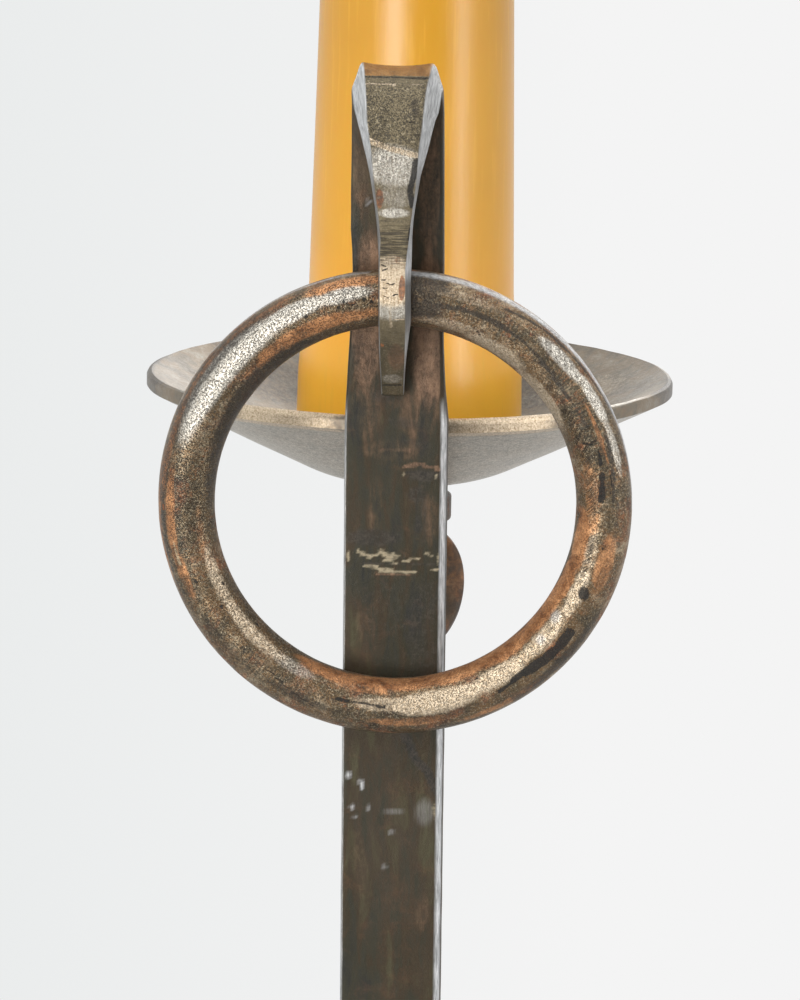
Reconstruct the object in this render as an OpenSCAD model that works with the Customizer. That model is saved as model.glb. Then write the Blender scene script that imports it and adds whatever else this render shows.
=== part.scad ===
// Floor lamp: a forged flat-bar post on a tripod, its top drawn out into a hook with a hand ring,
// and a candle-like sleeve in a drip dish on an arm behind the post.
// X is the width, Y points from the front of the post to the candle, Z is up, the floor is at z = 0.

/* [Post] */
// Width of the flat bar
post_w = 30; // [26:1:36]
// Thickness of the flat bar
post_t = 10; // [8:0.5:12]
// Height of the top of the hook above the floor
post_top = 1450; // [1250:10:1600]
// Height of the lower end of the post above the floor
post_foot = 150; // [110:5:180]

/* [Hook] */
// Depth of the ring's bar below the top of the hook
pivot_drop = 66.5; // [60:0.5:80]
// Inner radius of the bend at the top
bend_r = 6.1; // [5:0.1:8]
// Width of the bar where the bend starts
hook_root_w = 26.4; // [24:0.2:26.4]
// Width of the hook where it wraps the ring
hook_belly_w = 7.5; // [6:0.5:10]
// Width of the hook at its tip
hook_tip_w = 6.7; // [5:0.1:8]
// Thickness of the hook where it wraps the ring
hook_belly_t = 6.5; // [5:0.5:7]
// Thickness of the hook at its tip
hook_tip_t = 3.2; // [2.5:0.1:4]
// How far the tip reaches below the ring's bar
tip_drop = 27.6; // [24:0.2:32]

/* [Hand ring] */
// Diameter of the round bar
ring_bar_d = 16; // [13:0.5:17]
// Mean diameter of the ring
ring_mean_d = 120; // [110:1:150]

/* [Arm] */
// Distance from the middle of the post to the candle's axis
arm_reach = 107; // [98:1:130]
// Width of the strap that lies on the post
strap_w = 24; // [18:1:26]
// Thickness of the strap
strap_t = 6; // [5:0.5:8]
// Height of the strap's top above the centre of the ring
strap_top = 14; // [12:1:20]
// Depth of the start of the curve below the centre of the ring
curve_drop = 34; // [30:1:40]
// Thickness of the arm at the bottom of the curve
curve_t = 7; // [6:0.5:9]
// Width of the leaf
leaf_w = 36.8; // [30:0.2:44]
// Thickness of the leaf
leaf_t = 4.5; // [3.5:0.5:6]
// Length of the leaf
leaf_h = 35; // [28:1:40]
// Depth of the leaf's middle below the pad's top
leaf_drop = 30.4; // [28:0.1:34]
// Diameter of the pad at the end of the arm
pad_d = 28.2; // [28:0.2:36]
// Thickness of the pad
pad_t = 8.2; // [6:0.2:12]
// Depth of the pad's top below the centre of the ring
pad_drop = 21.1; // [18:0.1:26]
// Sideways lean of the candle and its dish, in degrees
candle_lean = 0.45; // [0:0.05:2]

/* [Rivets] */
// Diameter of a rivet's shank
rivet_d = 6; // [5:0.5:7]
// Diameter of a rivet's heads
rivet_head_d = 11; // [9:0.5:13]
// Height of the upper rivet above the centre of the ring
rivet_top = 5.2; // [4:0.1:6]
// Distance between the rivets
rivet_pitch = 24.4; // [20:0.2:28]

/* [Dish] */
// Diameter of the dish
dish_d = 166.8; // [150:0.2:190]
// Thickness of the plate
dish_t = 4; // [3:0.5:5]
// Height of the rim's lower edge above the underside of the dish
dish_rise = 30.35; // [28:0.05:36]
// Diameter at which the side would meet the floor without a bend
dish_floor_d = 47; // [44:0.5:54]
// Radius of the bend between floor and side
dish_bend_r = 53; // [35:1:54]

/* [Sleeve] */
// Height of the sleeve
sleeve_h = 227; // [200:1:260]
// Outer radius at the top
sleeve_top_r = 28.3; // [27.4:0.1:31]
// Taper, as millimetres of radius per millimetre of height
sleeve_taper = 0.0227; // [0.015:0.0001:0.03]
// Extra radius of the foot
sleeve_foot = 2.5; // [1:0.1:3]
// Height of the foot's straight part
sleeve_foot_h = 20; // [10:1:40]
// Height over which the foot runs out
sleeve_foot_fade = 28; // [15:1:40]
// Wall thickness
sleeve_wall = 3.5; // [2.5:0.1:4]

/* [Stem and lampholder] */
// Outer diameter of the threaded tube
stem_d = 10; // [9:0.5:11]
// Bore of the threaded tube
stem_bore = 8; // [6:0.5:8]
// Bore of the inlet bush
inlet_bore = 7; // [5:0.5:7.5]
// Outer diameter of the lampholder
holder_d = 39; // [38:0.2:40]
// Length of the lampholder's shell
holder_shell_h = 32; // [30:0.5:36]

/* [Bulb] */
// Largest diameter of the glass
bulb_d = 60; // [50:1:70]
// Length of the bulb from contact to crown
bulb_len = 105; // [98:1:120]

/* [Tripod] */
// Diameter of the round bar of a leg
leg_bar_d = 16; // [14:0.5:18]
// Height of a leg's upper end
leg_top = 330; // [315:5:380]
// Height at which a leg leaves the post
leg_split = 190; // [185:1:200]
// Radius of the upper bend of a leg
leg_bend_r = 100; // [80:1:110]
// Angle of a leg from the vertical
leg_angle = 58; // [50:1:60]
// Radius of the bend above the foot
foot_bend_r = 60; // [40:1:70]
// Diameter of a foot
foot_d = 44; // [38:1:56]
// Thickness of a foot
foot_t = 7; // [5:0.5:9]
// Height of a collar
collar_h = 20; // [14:1:30]
// Thickness of a collar
collar_t = 4; // [3:0.5:6]

/* [Clearances] */
// Gap between the ring's bar and the face of the post
ring_gap = 0.3; // [0.2:0.1:0.6]
// Gap between the ring's bar and the inside of the hook
seat_gap = 0.6; // [0.4:0.1:0.8]
// Gap between the hook's tip and the post
tip_gap = 0.3; // [0.2:0.1:0.6]
// Radial gap of a rivet in its hole
rivet_gap = 0.05; // [0.02:0.01:0.1]
// Radial gap of a part on the stem tube
stem_gap = 0.05; // [0.02:0.01:0.1]
// Radial gap of the discs inside the sleeve
disc_gap = 0.3; // [0.2:0.1:0.5]
// Radial gap between the bulb's thread and the holder's thread
thread_gap = 0.35; // [0.25:0.05:0.4]
// Gap between a collar and the bars inside it
collar_gap = 0.1; // [0.05:0.05:0.2]

/* [Hidden] */
$fn = 64;

iron = [0.24, 0.20, 0.17];
worn_iron = [0.46, 0.41, 0.35];
bright_steel = [0.70, 0.70, 0.68];
brass = [0.80, 0.65, 0.35];
amber = [0.88, 0.62, 0.22];
porcelain = [0.93, 0.92, 0.88];
black = [0.10, 0.10, 0.10];
clear = [0.85, 0.88, 0.90, 0.35];

// Tripod: the front legs lie side by side on the front of the post, the back leg on its back
leg_r = leg_bar_d / 2;
leg_off = post_t / 2 + leg_r;
front_leg_x = leg_r + 0.2;
splay = 60;
leg_end_z = leg_r + 1;
leg_slope_len = (leg_split - leg_end_z - leg_bend_r * sin(leg_angle) - foot_bend_r * (1 - sin(leg_angle)))
    / cos(leg_angle);
leg_slope_run = leg_bend_r * (1 - cos(leg_angle));
leg_run = leg_slope_run + leg_slope_len * sin(leg_angle) + foot_bend_r * cos(leg_angle);
foot_taper = 13;
foot_reach = leg_run + foot_taper;
collar_margin = 15;
lower_collar_z = leg_split + collar_margin;
upper_collar_z = leg_top - collar_margin - leg_r - collar_h;

// The feet's outline is centred on the origin, which sets the place of the post
post_y = -foot_reach * (1 - cos(splay)) / 2;

// Ring and pivot
ring_bar_r = ring_bar_d / 2;
ring_r = ring_mean_d / 2;
pivot_z = post_top - pivot_drop;
pivot_off = post_t / 2 + ring_gap + ring_bar_r;
ring_y = post_y - pivot_off;
ring_z = pivot_z - ring_r;

// Hook, as seen from the side: u is the distance in front of the middle of the post, v the height
// above the ring's bar
hook_top_t = post_t;
bend_v = pivot_drop - hook_top_t - bend_r;
bend_u = post_t / 2 + bend_r;
seat_r = ring_bar_r + seat_gap;
seat_from = 40;
tip = [post_t / 2 + tip_gap, -tip_drop];
tip_to_bar = [pivot_off - tip[0], tip_drop];
tip_angle = atan2(tip_to_bar[0], tip_to_bar[1]) + asin(seat_r / norm(tip_to_bar));
narrow_from = -36;
narrow_to = -22;
narrow_w = (post_w + 2 * hook_root_w) / 3;
corner_left = 0.5;
corner_right = 1.4;
corner_back = 0.8;

// Candle axis and the stack on it, as heights above the top of the pad
candle_y = post_y + arm_reach;
pad_z = ring_z - pad_drop;
stem_r = stem_d / 2;
nut_r = 9.8;
nut_h = 5;
washer_t = 1.5;
seat_washer_h = 5;
seat_washer_r = 12;
dish_z = seat_washer_h;
dish_floor = dish_z + dish_t;
dish_r = dish_d / 2;
dish_corner_r = dish_floor_d / 2;
dish_slope = atan(dish_rise / (dish_r - dish_corner_r));
dish_plumb_t = dish_t / cos(dish_slope);
dish_rim_low = dish_z + dish_rise;
dish_flat_r = dish_corner_r - dish_bend_r * tan(dish_slope / 2);
dish_nut_z = dish_floor + washer_t;
dish_nut_top = dish_nut_z + nut_h;
seat_flange_r = 33;
seat_flange_t = 2;
seat_rise = 1.8;
sleeve_z = dish_rim_low + dish_plumb_t - (dish_r - seat_flange_r) * tan(dish_slope) + seat_rise + seat_flange_t;
sleeve_top = sleeve_z + sleeve_h;
foot_from = sleeve_z + sleeve_foot_h;
foot_to = foot_from + sleeve_foot_fade;
spigot_h = 8;
spigot_wall = 3;

// Lampholder, set from the top of the sleeve
holder_r = holder_d / 2;
cap_sink = 5;
cap_t = 1.6;
cap_z = sleeve_top - cap_sink;
shell_top = sleeve_top + 3;
shell_z = shell_top - holder_shell_h;
shell_wall = 1.3;
shell_in = holder_r - shell_wall;
bead_t = 1.6;
bead_r = holder_r + 2.5;
dome_h = 8;
neck_h = 10;
dome_z = shell_z - dome_h;
neck_z = dome_z - neck_h;
neck_r = 8;
spigot_len = 4;
insert_z = shell_z + spigot_len;
insert_base = 11;
contact_z = insert_z + insert_base;
insert_r = shell_in - 0.3;
collar_in = insert_r - 2.6;
lip_t = 1;
stem_low = -pad_t - 14;
stem_high = neck_z + neck_h - 1;
bush_r = 7.5;
bush_lip = 3;
bush_len = 10;

// Screw thread of the bulb, drawn as rings
pitch = 3.63;
thread_r = 12.6;
thread_a = 0.5;
thread_wall = 0.5;
tip_z = contact_z + 1.3;
tip_h = 0.8;
insulator_h = 2.6;
cap_low = tip_z + tip_h + insulator_h;
thread_h = 14.5;
skirt_r = thread_r + thread_a + 0.1;
skirt_h = 6;
cap_high = cap_low + thread_h + skirt_h;
glass_t = 0.8;
neck_glass_r = skirt_r - thread_wall - 0.2;
bulb_r = bulb_d / 2;
crown_z = tip_z + bulb_len;
bulb_mid_z = crown_z - bulb_r;
glass_low = cap_high - 5;
stem_glass_top = bulb_mid_z - 14;
filament_r = 10;
filament_z = bulb_mid_z + 4;
wire_r = 0.35;

function smooth(t) = let (s = min(max(t, 0), 1)) s * s * (3 - 2 * s);
function mix(a, b, t) = a + (b - a) * t;
function bezier(p, t) =
    pow(1 - t, 3) * p[0] + 3 * t * pow(1 - t, 2) * p[1] + 3 * t * t * (1 - t) * p[2] + pow(t, 3) * p[3];
function arc(c, r, from, to, steps) =
    [for (i = [0:steps]) let (a = mix(from, to, i / steps)) c + r * [cos(a), sin(a)]];
function lengths(p, i = 0, sum = 0) =
    i == len(p) - 1 ? [sum] : concat([sum], lengths(p, i + 1, sum + norm(p[i + 1] - p[i])));
function side_normal(p, i) =
    let (d = p[min(i + 1, len(p) - 1)] - p[max(i - 1, 0)]) [d[1], -d[0]] / norm(d);

// Section of a flat bar: points run round it, x across the bar and d from its inner face outwards
function bar_outline(t, inner, outer, bevel, left, right) = [
    [-inner / 2 + left, 0], [inner / 2 - right, 0], [inner / 2, right], [inner / 2, t - bevel],
    [outer / 2, t], [-outer / 2, t], [-inner / 2, t - bevel], [-inner / 2, left]
];
function bar_section(p, n, outline) =
    [for (q = outline) [q[0], p[0] + n[0] * q[1], p[1] + n[1] * q[1]]];

// Solid through a row of sections with the same number of points
module loft(sections) {
    n = len(sections[0]);
    last = len(sections) - 1;
    points = [for (s = sections) each s];
    start = [[for (j = [0:n - 1]) j]];
    end = [[for (j = [n - 1:-1:0]) last * n + j]];
    sides = [
        for (i = [0:last - 1], j = [0:n - 1])
            let (a = i * n + j, b = i * n + (j + 1) % n, c = b + n, d = a + n)
                each [[a, c, b], [a, d, c]]
    ];
    polyhedron(points = points, faces = concat(start, sides, end));
}

module rod(from, to, r) {
    d = to - from;
    translate(from)
        rotate([0, acos(d[2] / norm(d)), atan2(d[1], d[0])])
            cylinder(r = r, h = norm(d), $fn = 16);
}

module on_candle(z = 0) {
    translate([0, candle_y, pad_z])
        rotate([0, candle_lean, 0])
            translate([0, 0, z])
                children();
}

module ring_disc(r, bore_r, h) {
    difference() {
        cylinder(r = r, h = h);
        translate([0, 0, -1])
            cylinder(r = bore_r, h = h + 2);
    }
}

module hex_nut(h) {
    difference() {
        cylinder(r = nut_r, h = h, $fn = 6);
        translate([0, 0, -1])
            cylinder(r = stem_r + stem_gap, h = h + 2);
    }
}

// Post with its hook. The inner line follows the front of the post, the bend, the throat, the seat
// round the ring's bar and the straight run to the tip.
function hook_point(q) = [post_y - q[0], pivot_z + q[1]];
seat_start = [pivot_off, 0] + seat_r * [cos(seat_from), sin(seat_from)];
seat_pull = 9 * [sin(seat_from), -cos(seat_from)];
throat = [[bend_u + bend_r, bend_v], [bend_u + bend_r, 30], seat_start - seat_pull, seat_start];
post_line = [for (v = [post_foot - pivot_z, narrow_from, narrow_to, 15, bend_v - 8]) [post_t / 2, v]];
bend_line = arc([bend_u, bend_v], bend_r, 180, 0, 16);
throat_line = [for (i = [1:12]) bezier(throat, i / 12)];
seat_line = arc([pivot_off, 0], seat_r, seat_from - 8, -tip_angle, 8);
tip_line = [for (i = [1:4]) mix(seat_line[8], tip, i / 4)];
hook_line = concat(post_line, bend_line, throat_line, seat_line, tip_line);
bend_first = len(post_line);
bend_last = bend_first + 16;
tip_last = len(hook_line) - 1;

// Fraction of the way from the seat to the tip, and round the bend
function to_tip(i) = max(0, -hook_line[i][1] / tip_drop);
function round_bend(i) = min(max((i - bend_first) / 16, 0), 1);
function straight_width(v) =
    lookup(v, [[narrow_from, post_w], [narrow_to, narrow_w + 0.2], [15, narrow_w - 0.2], [bend_v, hook_root_w]]);
function taper(v) = pow(max(0, 1 - (bend_v + 2 - v) / (bend_v - 5)), 1.5);

function inner_width(i) = let (v = hook_line[i][1])
    i < bend_first ? straight_width(v)
    : i <= bend_last ? mix(hook_root_w, hook_root_w - 1.6, round_bend(i))
    : v > 0 ? mix(hook_belly_w, hook_root_w - 1.6, taper(v))
    : mix(hook_belly_w + 1.2 * sin(180 * min(1, to_tip(i))), hook_tip_w, to_tip(i));
function outer_width(i) = let (v = hook_line[i][1])
    i < bend_first ? straight_width(v) - 2 * corner_back
    : i <= bend_last ? hook_root_w - mix(2 * corner_back, hook_root_w - 15.8, smooth(round_bend(i)))
    : v > 0 ? mix(hook_belly_w - 0.3, 15.8, pow(taper(v), 0.72))
    : mix(hook_belly_w - 0.3, hook_tip_w - 0.5, to_tip(i));
function bar_depth(i) = let (v = hook_line[i][1])
    i <= bend_first ? post_t
    : i <= bend_last ? mix(post_t, post_t - 1, round_bend(i))
    : v > 0 ? mix(post_t - 1, hook_belly_t, smooth(1.15 * (bend_v - v) / bend_v))
    : mix(hook_belly_t, hook_tip_t, to_tip(i));
function bevel_depth(i) = let (t = bar_depth(i))
    i < bend_first ? corner_back : mix(corner_back, t - 1.4, smooth(2 * round_bend(i)));

module post() {
    color(iron)
    difference() {
        loft([
            for (i = [0:tip_last])
                let (n = side_normal(hook_line, i), k = i < bend_first ? 1 : mix(1, 0.4, round_bend(i)))
                    bar_section(
                        hook_point(hook_line[i]), [n[0], -n[1]],
                        bar_outline(bar_depth(i), inner_width(i), outer_width(i), bevel_depth(i),
                            corner_left * k, corner_right * k)
                    )
        ]);
        rivet_places()
            rivet_shank(rivet_gap);
    }
}

module hand_ring() {
    color(worn_iron)
    translate([0, ring_y, ring_z])
        rotate([90, 0, 0])
            rotate_extrude($fn = 128)
                translate([ring_r, 0])
                    circle(r = ring_bar_r);
}

// Rivets, countersunk at the front of the post and with a round head on the strap
module rivet_places() {
    for (i = [0:1])
        translate([0, post_y - post_t / 2, ring_z + rivet_top - i * rivet_pitch])
            rotate([-90, 0, 0])
                children();
}

module rivet_shank(gap) {
    sink = (rivet_head_d - rivet_d) / 2;
    translate([0, 0, -1 * sign(gap)])
        cylinder(r = rivet_d / 2 + gap, h = post_t + strap_t + sign(gap) * 2);
    cylinder(r1 = rivet_head_d / 2 + gap, r2 = rivet_d / 2 + gap, h = sink);
}

module arm_rivets() {
    head_h = rivet_d / 2;
    color(iron)
    rivet_places() {
        rivet_shank(0);
        translate([0, 0, post_t + strap_t])
            cylinder(r1 = rivet_head_d / 2, r2 = rivet_head_d / 4, h = head_h);
    }
}

// Arm: down the back of the post, round a half circle, up through the leaf to the pad
arm_front = arm_reach + nut_r + 1;
arm_in_y = post_t / 2 + strap_t;
curve_r = (arm_front - arm_in_y) / 2;
neck_w = pad_d / 2;
neck_t = 5;
leaf_mid = -pad_drop - leaf_drop;
leaf_long = leaf_h / 2;
curve_low = -curve_drop - curve_r;
arm_line = concat(
    [for (h = [strap_top, strap_top - 4, -curve_drop / 2]) [arm_in_y, h]],
    arc([arm_in_y + curve_r, -curve_drop], curve_r, 180, 360, 30),
    [[arm_front, -curve_drop + 3], [arm_front, -pad_drop - pad_t / 2]]
);
arm_lengths = lengths(arm_line);
arm_total = arm_lengths[len(arm_lengths) - 1];
strap_len = strap_top + curve_drop;

function rising(i) = arm_line[i][0] > arm_in_y + curve_r;
function leaf_bulge(h) = sqrt(max(0, 1 - pow((h - leaf_mid) / leaf_long, 2)));
function arm_width(i) = let (h = arm_line[i][1])
    i == 0 ? strap_w * 0.7
    : !rising(i) ? strap_w
    : let (bar = mix(strap_w * 0.9, neck_w, smooth((h - leaf_mid) / leaf_long * 1.1)))
        max(bar, mix(bar * 0.55, leaf_w, leaf_bulge(h)));
function arm_depth(i) = let (h = arm_line[i][1])
    !rising(i) ? mix(strap_t, curve_t, smooth((arm_lengths[i] - strap_len) / (arm_total - strap_len) * 2.2))
    : mix(mix(curve_t, neck_t, smooth((h - curve_low) / (leaf_mid + leaf_long - curve_low))), leaf_t, leaf_bulge(h));

module arm() {
    corner = 0.8;
    color(iron)
    difference() {
        union() {
            loft([
                for (i = [0:len(arm_line) - 1])
                    let (n = side_normal(arm_line, i), w = arm_width(i), p = arm_line[i])
                        bar_section([post_y + p[0], ring_z + p[1]], n,
                            bar_outline(arm_depth(i), w, w - 2 * corner, corner, corner, corner))
            ]);
            on_candle(-pad_t)
                cylinder(r = pad_d / 2, h = pad_t);
        }
        on_candle(-pad_t - 1)
            cylinder(r = stem_r + stem_gap, h = pad_t + 2);
        rivet_places()
            rivet_shank(rivet_gap);
    }
}

// Legs, built upright at the origin with the foot towards +X, then turned to their side. Each section
// is [distance from the bar's straight part, height, radius, half thickness].
leg_sides = 20;
dome_line = [for (a = [10:20:90]) [0, leg_top - leg_r + leg_r * cos(a), leg_r * sin(a)]];
upper_bend = arc([leg_bend_r, leg_split], leg_bend_r, 180, 180 + leg_angle, 10);
lower_bend = arc([leg_run, leg_end_z + foot_bend_r], foot_bend_r, 180 + leg_angle, 270, 5);
leg_line = concat(
    [for (q = dome_line) [q[0], q[1]]],
    upper_bend,
    lower_bend,
    [[foot_reach, foot_t / 2 + 1]]
);

function leg_radius(i) =
    i < len(dome_line) ? dome_line[i][2] : i < len(leg_line) - 1 ? leg_r : foot_t / 2;
function leg_section(i) = let (n = side_normal(leg_line, i), p = leg_line[i], r = leg_radius(i)) [
    for (k = [0:leg_sides - 1]) let (a = 360 * k / leg_sides)
        [p[0] + r * cos(a) * n[0], r * sin(a), p[1] + r * cos(a) * n[1]]
];

module leg_bar() {
    loft([for (i = [0:len(leg_line) - 1]) leg_section(i)]);
    translate([foot_reach, 0, 0])
        cylinder(r = foot_d / 2, h = foot_t);
}

module leg(x, off, turn) {
    color(iron)
    translate([x, post_y + off, 0])
        rotate([0, 0, turn])
            leg_bar();
}

module left_leg() {
    leg(-front_leg_x, -leg_off, -90 - splay);
}

module right_leg() {
    leg(front_leg_x, -leg_off, -90 + splay);
}

module back_leg() {
    leg(0, leg_off, 90);
}

module collar_outline(grow) {
    hull() {
        for (x = [-front_leg_x, front_leg_x])
            translate([x, -leg_off])
                circle(r = leg_r + grow);
        for (x = [-post_w / 2, post_w / 2], y = [-post_t / 2, post_t / 2])
            translate([x, y])
                circle(r = grow, $fn = 32);
        translate([0, leg_off])
            circle(r = leg_r + grow);
    }
}

module collar(z) {
    color(iron)
    translate([0, post_y, z])
        linear_extrude(collar_h)
            difference() {
                collar_outline(collar_gap + collar_t);
                collar_outline(collar_gap);
            }
}

module lower_collar() {
    collar(lower_collar_z);
}

module upper_collar() {
    collar(upper_collar_z);
}

// Dish: flat floor, a bend and a straight side, cut square at the rim
module dish() {
    centre = [dish_flat_r, dish_z + dish_bend_r];
    under = arc(centre, dish_bend_r, 270, 270 + dish_slope, 8);
    inside = arc(centre, dish_bend_r - dish_t, 270 + dish_slope, 270, 8);
    hole = stem_r + stem_gap;
    rim_top = dish_rim_low + dish_plumb_t;
    edge = 0.8;
    color(worn_iron)
    on_candle()
        rotate_extrude($fn = 128)
            polygon(concat(
                [[hole, dish_z]],
                under,
                [[dish_r, dish_rim_low], [dish_r, rim_top - edge], [dish_r - edge, rim_top - edge * 0.3]],
                inside,
                [[hole, dish_floor]]
            ));
}

module seat_washer() {
    color(iron)
    on_candle()
        ring_disc(seat_washer_r, stem_r + stem_gap, seat_washer_h);
}

module stem_tube() {
    color(bright_steel)
    on_candle(stem_low)
        ring_disc(stem_r, stem_bore / 2, stem_high - stem_low);
}

module pad_washer() {
    color(bright_steel)
    on_candle(-pad_t - washer_t)
        ring_disc(nut_r, stem_r + stem_gap, washer_t);
}

module pad_nut() {
    color(bright_steel)
    on_candle(-pad_t - washer_t - nut_h)
        hex_nut(nut_h);
}

module cord_bush() {
    mouth = 0.8;
    bottom = -bush_lip;
    color(black)
    on_candle(stem_low)
        rotate_extrude()
            polygon([
                [inlet_bore / 2, bottom + mouth], [inlet_bore / 2 + mouth, bottom], [bush_r - mouth, bottom],
                [bush_r, bottom + mouth], [bush_r, bush_len - bush_lip], [stem_r + stem_gap, bush_len - bush_lip],
                [stem_r + stem_gap, 0], [inlet_bore / 2, 0]
            ]);
}

module dish_washer() {
    color(bright_steel)
    on_candle(dish_floor)
        ring_disc(min(nut_r + 1, dish_flat_r), stem_r + stem_gap, washer_t);
}

module dish_nut() {
    color(bright_steel)
    on_candle(dish_nut_z)
        hex_nut(nut_h);
}

// Sleeve with its foot and taper, and the discs that hold it
function body_r(z) = sleeve_top_r + sleeve_taper * (sleeve_top - z);
function foot_extra(z) = sleeve_foot * (1 - smooth((z - foot_from) / (foot_to - foot_from)));

module sleeve() {
    steps = 14;
    lip = 0.8;
    color(amber)
    on_candle()
        rotate_extrude($fn = 128)
            polygon(concat(
                [[body_r(sleeve_z) + sleeve_foot, sleeve_z]],
                [for (i = [0:steps]) let (z = mix(foot_from, foot_to, i / steps)) [body_r(z) + foot_extra(z), z]],
                [[body_r(sleeve_top - lip), sleeve_top - lip], [sleeve_top_r - lip, sleeve_top]],
                [[sleeve_top_r - sleeve_wall, sleeve_top], [body_r(sleeve_z) - sleeve_wall, sleeve_z]]
            ));
}

module sleeve_seat() {
    spigot_r = body_r(sleeve_z + spigot_h) - sleeve_wall - disc_gap;
    hole = stem_r + stem_gap;
    flange_z = sleeve_z - seat_flange_t;
    color(bright_steel)
    on_candle()
        rotate_extrude()
            polygon([
                [hole, dish_nut_top], [nut_r, dish_nut_top], [nut_r, flange_z], [seat_flange_r, flange_z],
                [seat_flange_r, sleeve_z], [spigot_r, sleeve_z], [spigot_r, sleeve_z + spigot_h],
                [spigot_r - spigot_wall, sleeve_z + spigot_h], [spigot_r - spigot_wall, sleeve_z], [hole, sleeve_z]
            ]);
}

module seat_nut() {
    color(bright_steel)
    on_candle(sleeve_z)
        hex_nut(nut_h);
}

module sleeve_cap() {
    cap_r = body_r(cap_z) - sleeve_wall - disc_gap;
    skirt = 8;
    skirt_wall = 1.2;
    color(iron)
    on_candle()
        rotate_extrude()
            polygon([
                [holder_r + disc_gap, cap_z], [cap_r - skirt_wall, cap_z], [cap_r - skirt_wall, cap_z - skirt],
                [cap_r, cap_z - skirt], [cap_r, cap_z + cap_t], [holder_r + disc_gap, cap_z + cap_t]
            ]);
}

module shade_ring() {
    color(iron)
    on_candle(cap_z + cap_t)
        ring_disc(bead_r, holder_r + stem_gap, shell_top - cap_z - cap_t - 1);
}

// Lampholder
module stem_lock_nut() {
    thin = 3;
    color(bright_steel)
    on_candle(neck_z - thin)
        hex_nut(thin);
}

module holder_dome() {
    steps = 8;
    wall = 1.2;
    spigot_r = shell_in - 0.1;
    color(iron)
    on_candle()
        rotate_extrude()
            polygon(concat(
                [[stem_r + stem_gap, neck_z], [neck_r, neck_z], [neck_r, dome_z]],
                [for (i = [1:steps]) let (a = 90 * i / steps)
                    [neck_r + (holder_r - neck_r) * sin(a), shell_z - dome_h * cos(a)]],
                [[spigot_r, shell_z], [spigot_r, insert_z], [spigot_r - wall, insert_z]],
                [for (i = [steps:-1:0]) let (a = 90 * i / steps)
                    [neck_r + (spigot_r - wall - neck_r) * sin(a), shell_z - (dome_h - wall) * cos(a)]],
                [[stem_r + stem_gap, dome_z + wall]]
            ));
}

module holder_shell() {
    lip_r = collar_in + 0.6;
    color(iron)
    on_candle()
        rotate_extrude()
            polygon([
                [shell_in, shell_z], [holder_r, shell_z], [holder_r, cap_z - bead_t], [bead_r, cap_z - bead_t],
                [bead_r, cap_z], [holder_r, cap_z], [holder_r, shell_top], [lip_r, shell_top],
                [lip_r, shell_top - lip_t], [shell_in, shell_top - lip_t]
            ]);
}

module screw_places() {
    for (x = [-12, 12])
        translate([x, 0, 0])
            children();
}

module holder_insert() {
    screw_hole = 1.55;
    color(porcelain)
    on_candle()
        difference() {
            rotate_extrude()
                polygon([
                    [0, insert_z], [insert_r, insert_z], [insert_r, shell_top - lip_t],
                    [collar_in, shell_top - lip_t], [collar_in, contact_z], [0, contact_z]
                ]);
            translate([0, 0, insert_z - 1])
                screw_places()
                    cylinder(r = screw_hole, h = insert_base - 1);
        }
}

function ring_thread(r, from, steps) =
    [for (i = [0:steps]) let (z = pitch * i / 8) [r + thread_a * cos(360 * z / pitch), from + z]];

module screw_shell() {
    steps = 28;
    wave = ring_thread(thread_r + thread_gap, cap_low, steps);
    top = wave[steps][1];
    wall_r = thread_r + thread_gap + thread_a + thread_wall;
    color(brass)
    on_candle()
        rotate_extrude()
            polygon(concat(
                wave,
                [[wall_r, top], [wall_r, contact_z + thread_wall], [collar_in - 0.2, contact_z + thread_wall]],
                [[collar_in - 0.2, contact_z], [wall_r - thread_wall, contact_z]],
                [[wall_r - thread_wall, cap_low - 0.2]]
            ));
}

module centre_contact() {
    color(brass)
    on_candle(contact_z)
        cylinder(r = 4, h = tip_z - contact_z - 0.3);
}

module terminal_screws() {
    head_h = 1.8;
    color(brass)
    on_candle(insert_z)
        screw_places() {
            translate([0, 0, -head_h])
                cylinder(r = 2.8, h = head_h);
            cylinder(r = 1.5, h = insert_base - 3);
        }
}

// Bulb
module bulb_tip() {
    color(bright_steel)
    on_candle(tip_z)
        cylinder(r1 = 3.4, r2 = 4.6, h = tip_h);
}

module bulb_insulator() {
    color(black)
    on_candle(tip_z + tip_h)
        cylinder(r1 = 5, r2 = thread_r - thread_a - thread_wall, h = insulator_h);
}

module bulb_cap() {
    steps = 32;
    wave = ring_thread(thread_r, cap_low, steps);
    in_r = thread_r - thread_a - thread_wall;
    color(brass)
    on_candle()
        rotate_extrude()
            polygon(concat(
                wave,
                [[skirt_r, cap_low + thread_h + 0.6], [skirt_r, cap_high], [skirt_r - thread_wall, cap_high]],
                [[skirt_r - thread_wall, glass_low - 0.4], [in_r, glass_low - 0.9], [in_r, cap_low]]
            ));
}

// Outline of the glass: neck, a soft shoulder and the round of the crown
function glass_r(z) = let (t = (z - cap_high) / (bulb_mid_z - cap_high)) mix(neck_glass_r, bulb_r, smooth(t * 0.98 + 0.02));
function glass_line(cut) = concat(
    [for (i = [0:14]) let (z = mix(cap_high, bulb_mid_z, i / 14)) [glass_r(z) - cut, z]],
    [for (i = [1:12]) let (a = 90 * i / 12) [(bulb_r - cut) * cos(a), bulb_mid_z + (bulb_r - cut) * sin(a)]]
);
function reversed(p) = [for (i = [len(p) - 1:-1:0]) p[i]];

module bulb_glass() {
    color(clear)
    on_candle()
        rotate_extrude($fn = 96)
            polygon(concat(
                [[neck_glass_r, glass_low]],
                glass_line(0),
                reversed(glass_line(glass_t)),
                [[neck_glass_r - glass_t, glass_low]]
            ));
}

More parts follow.
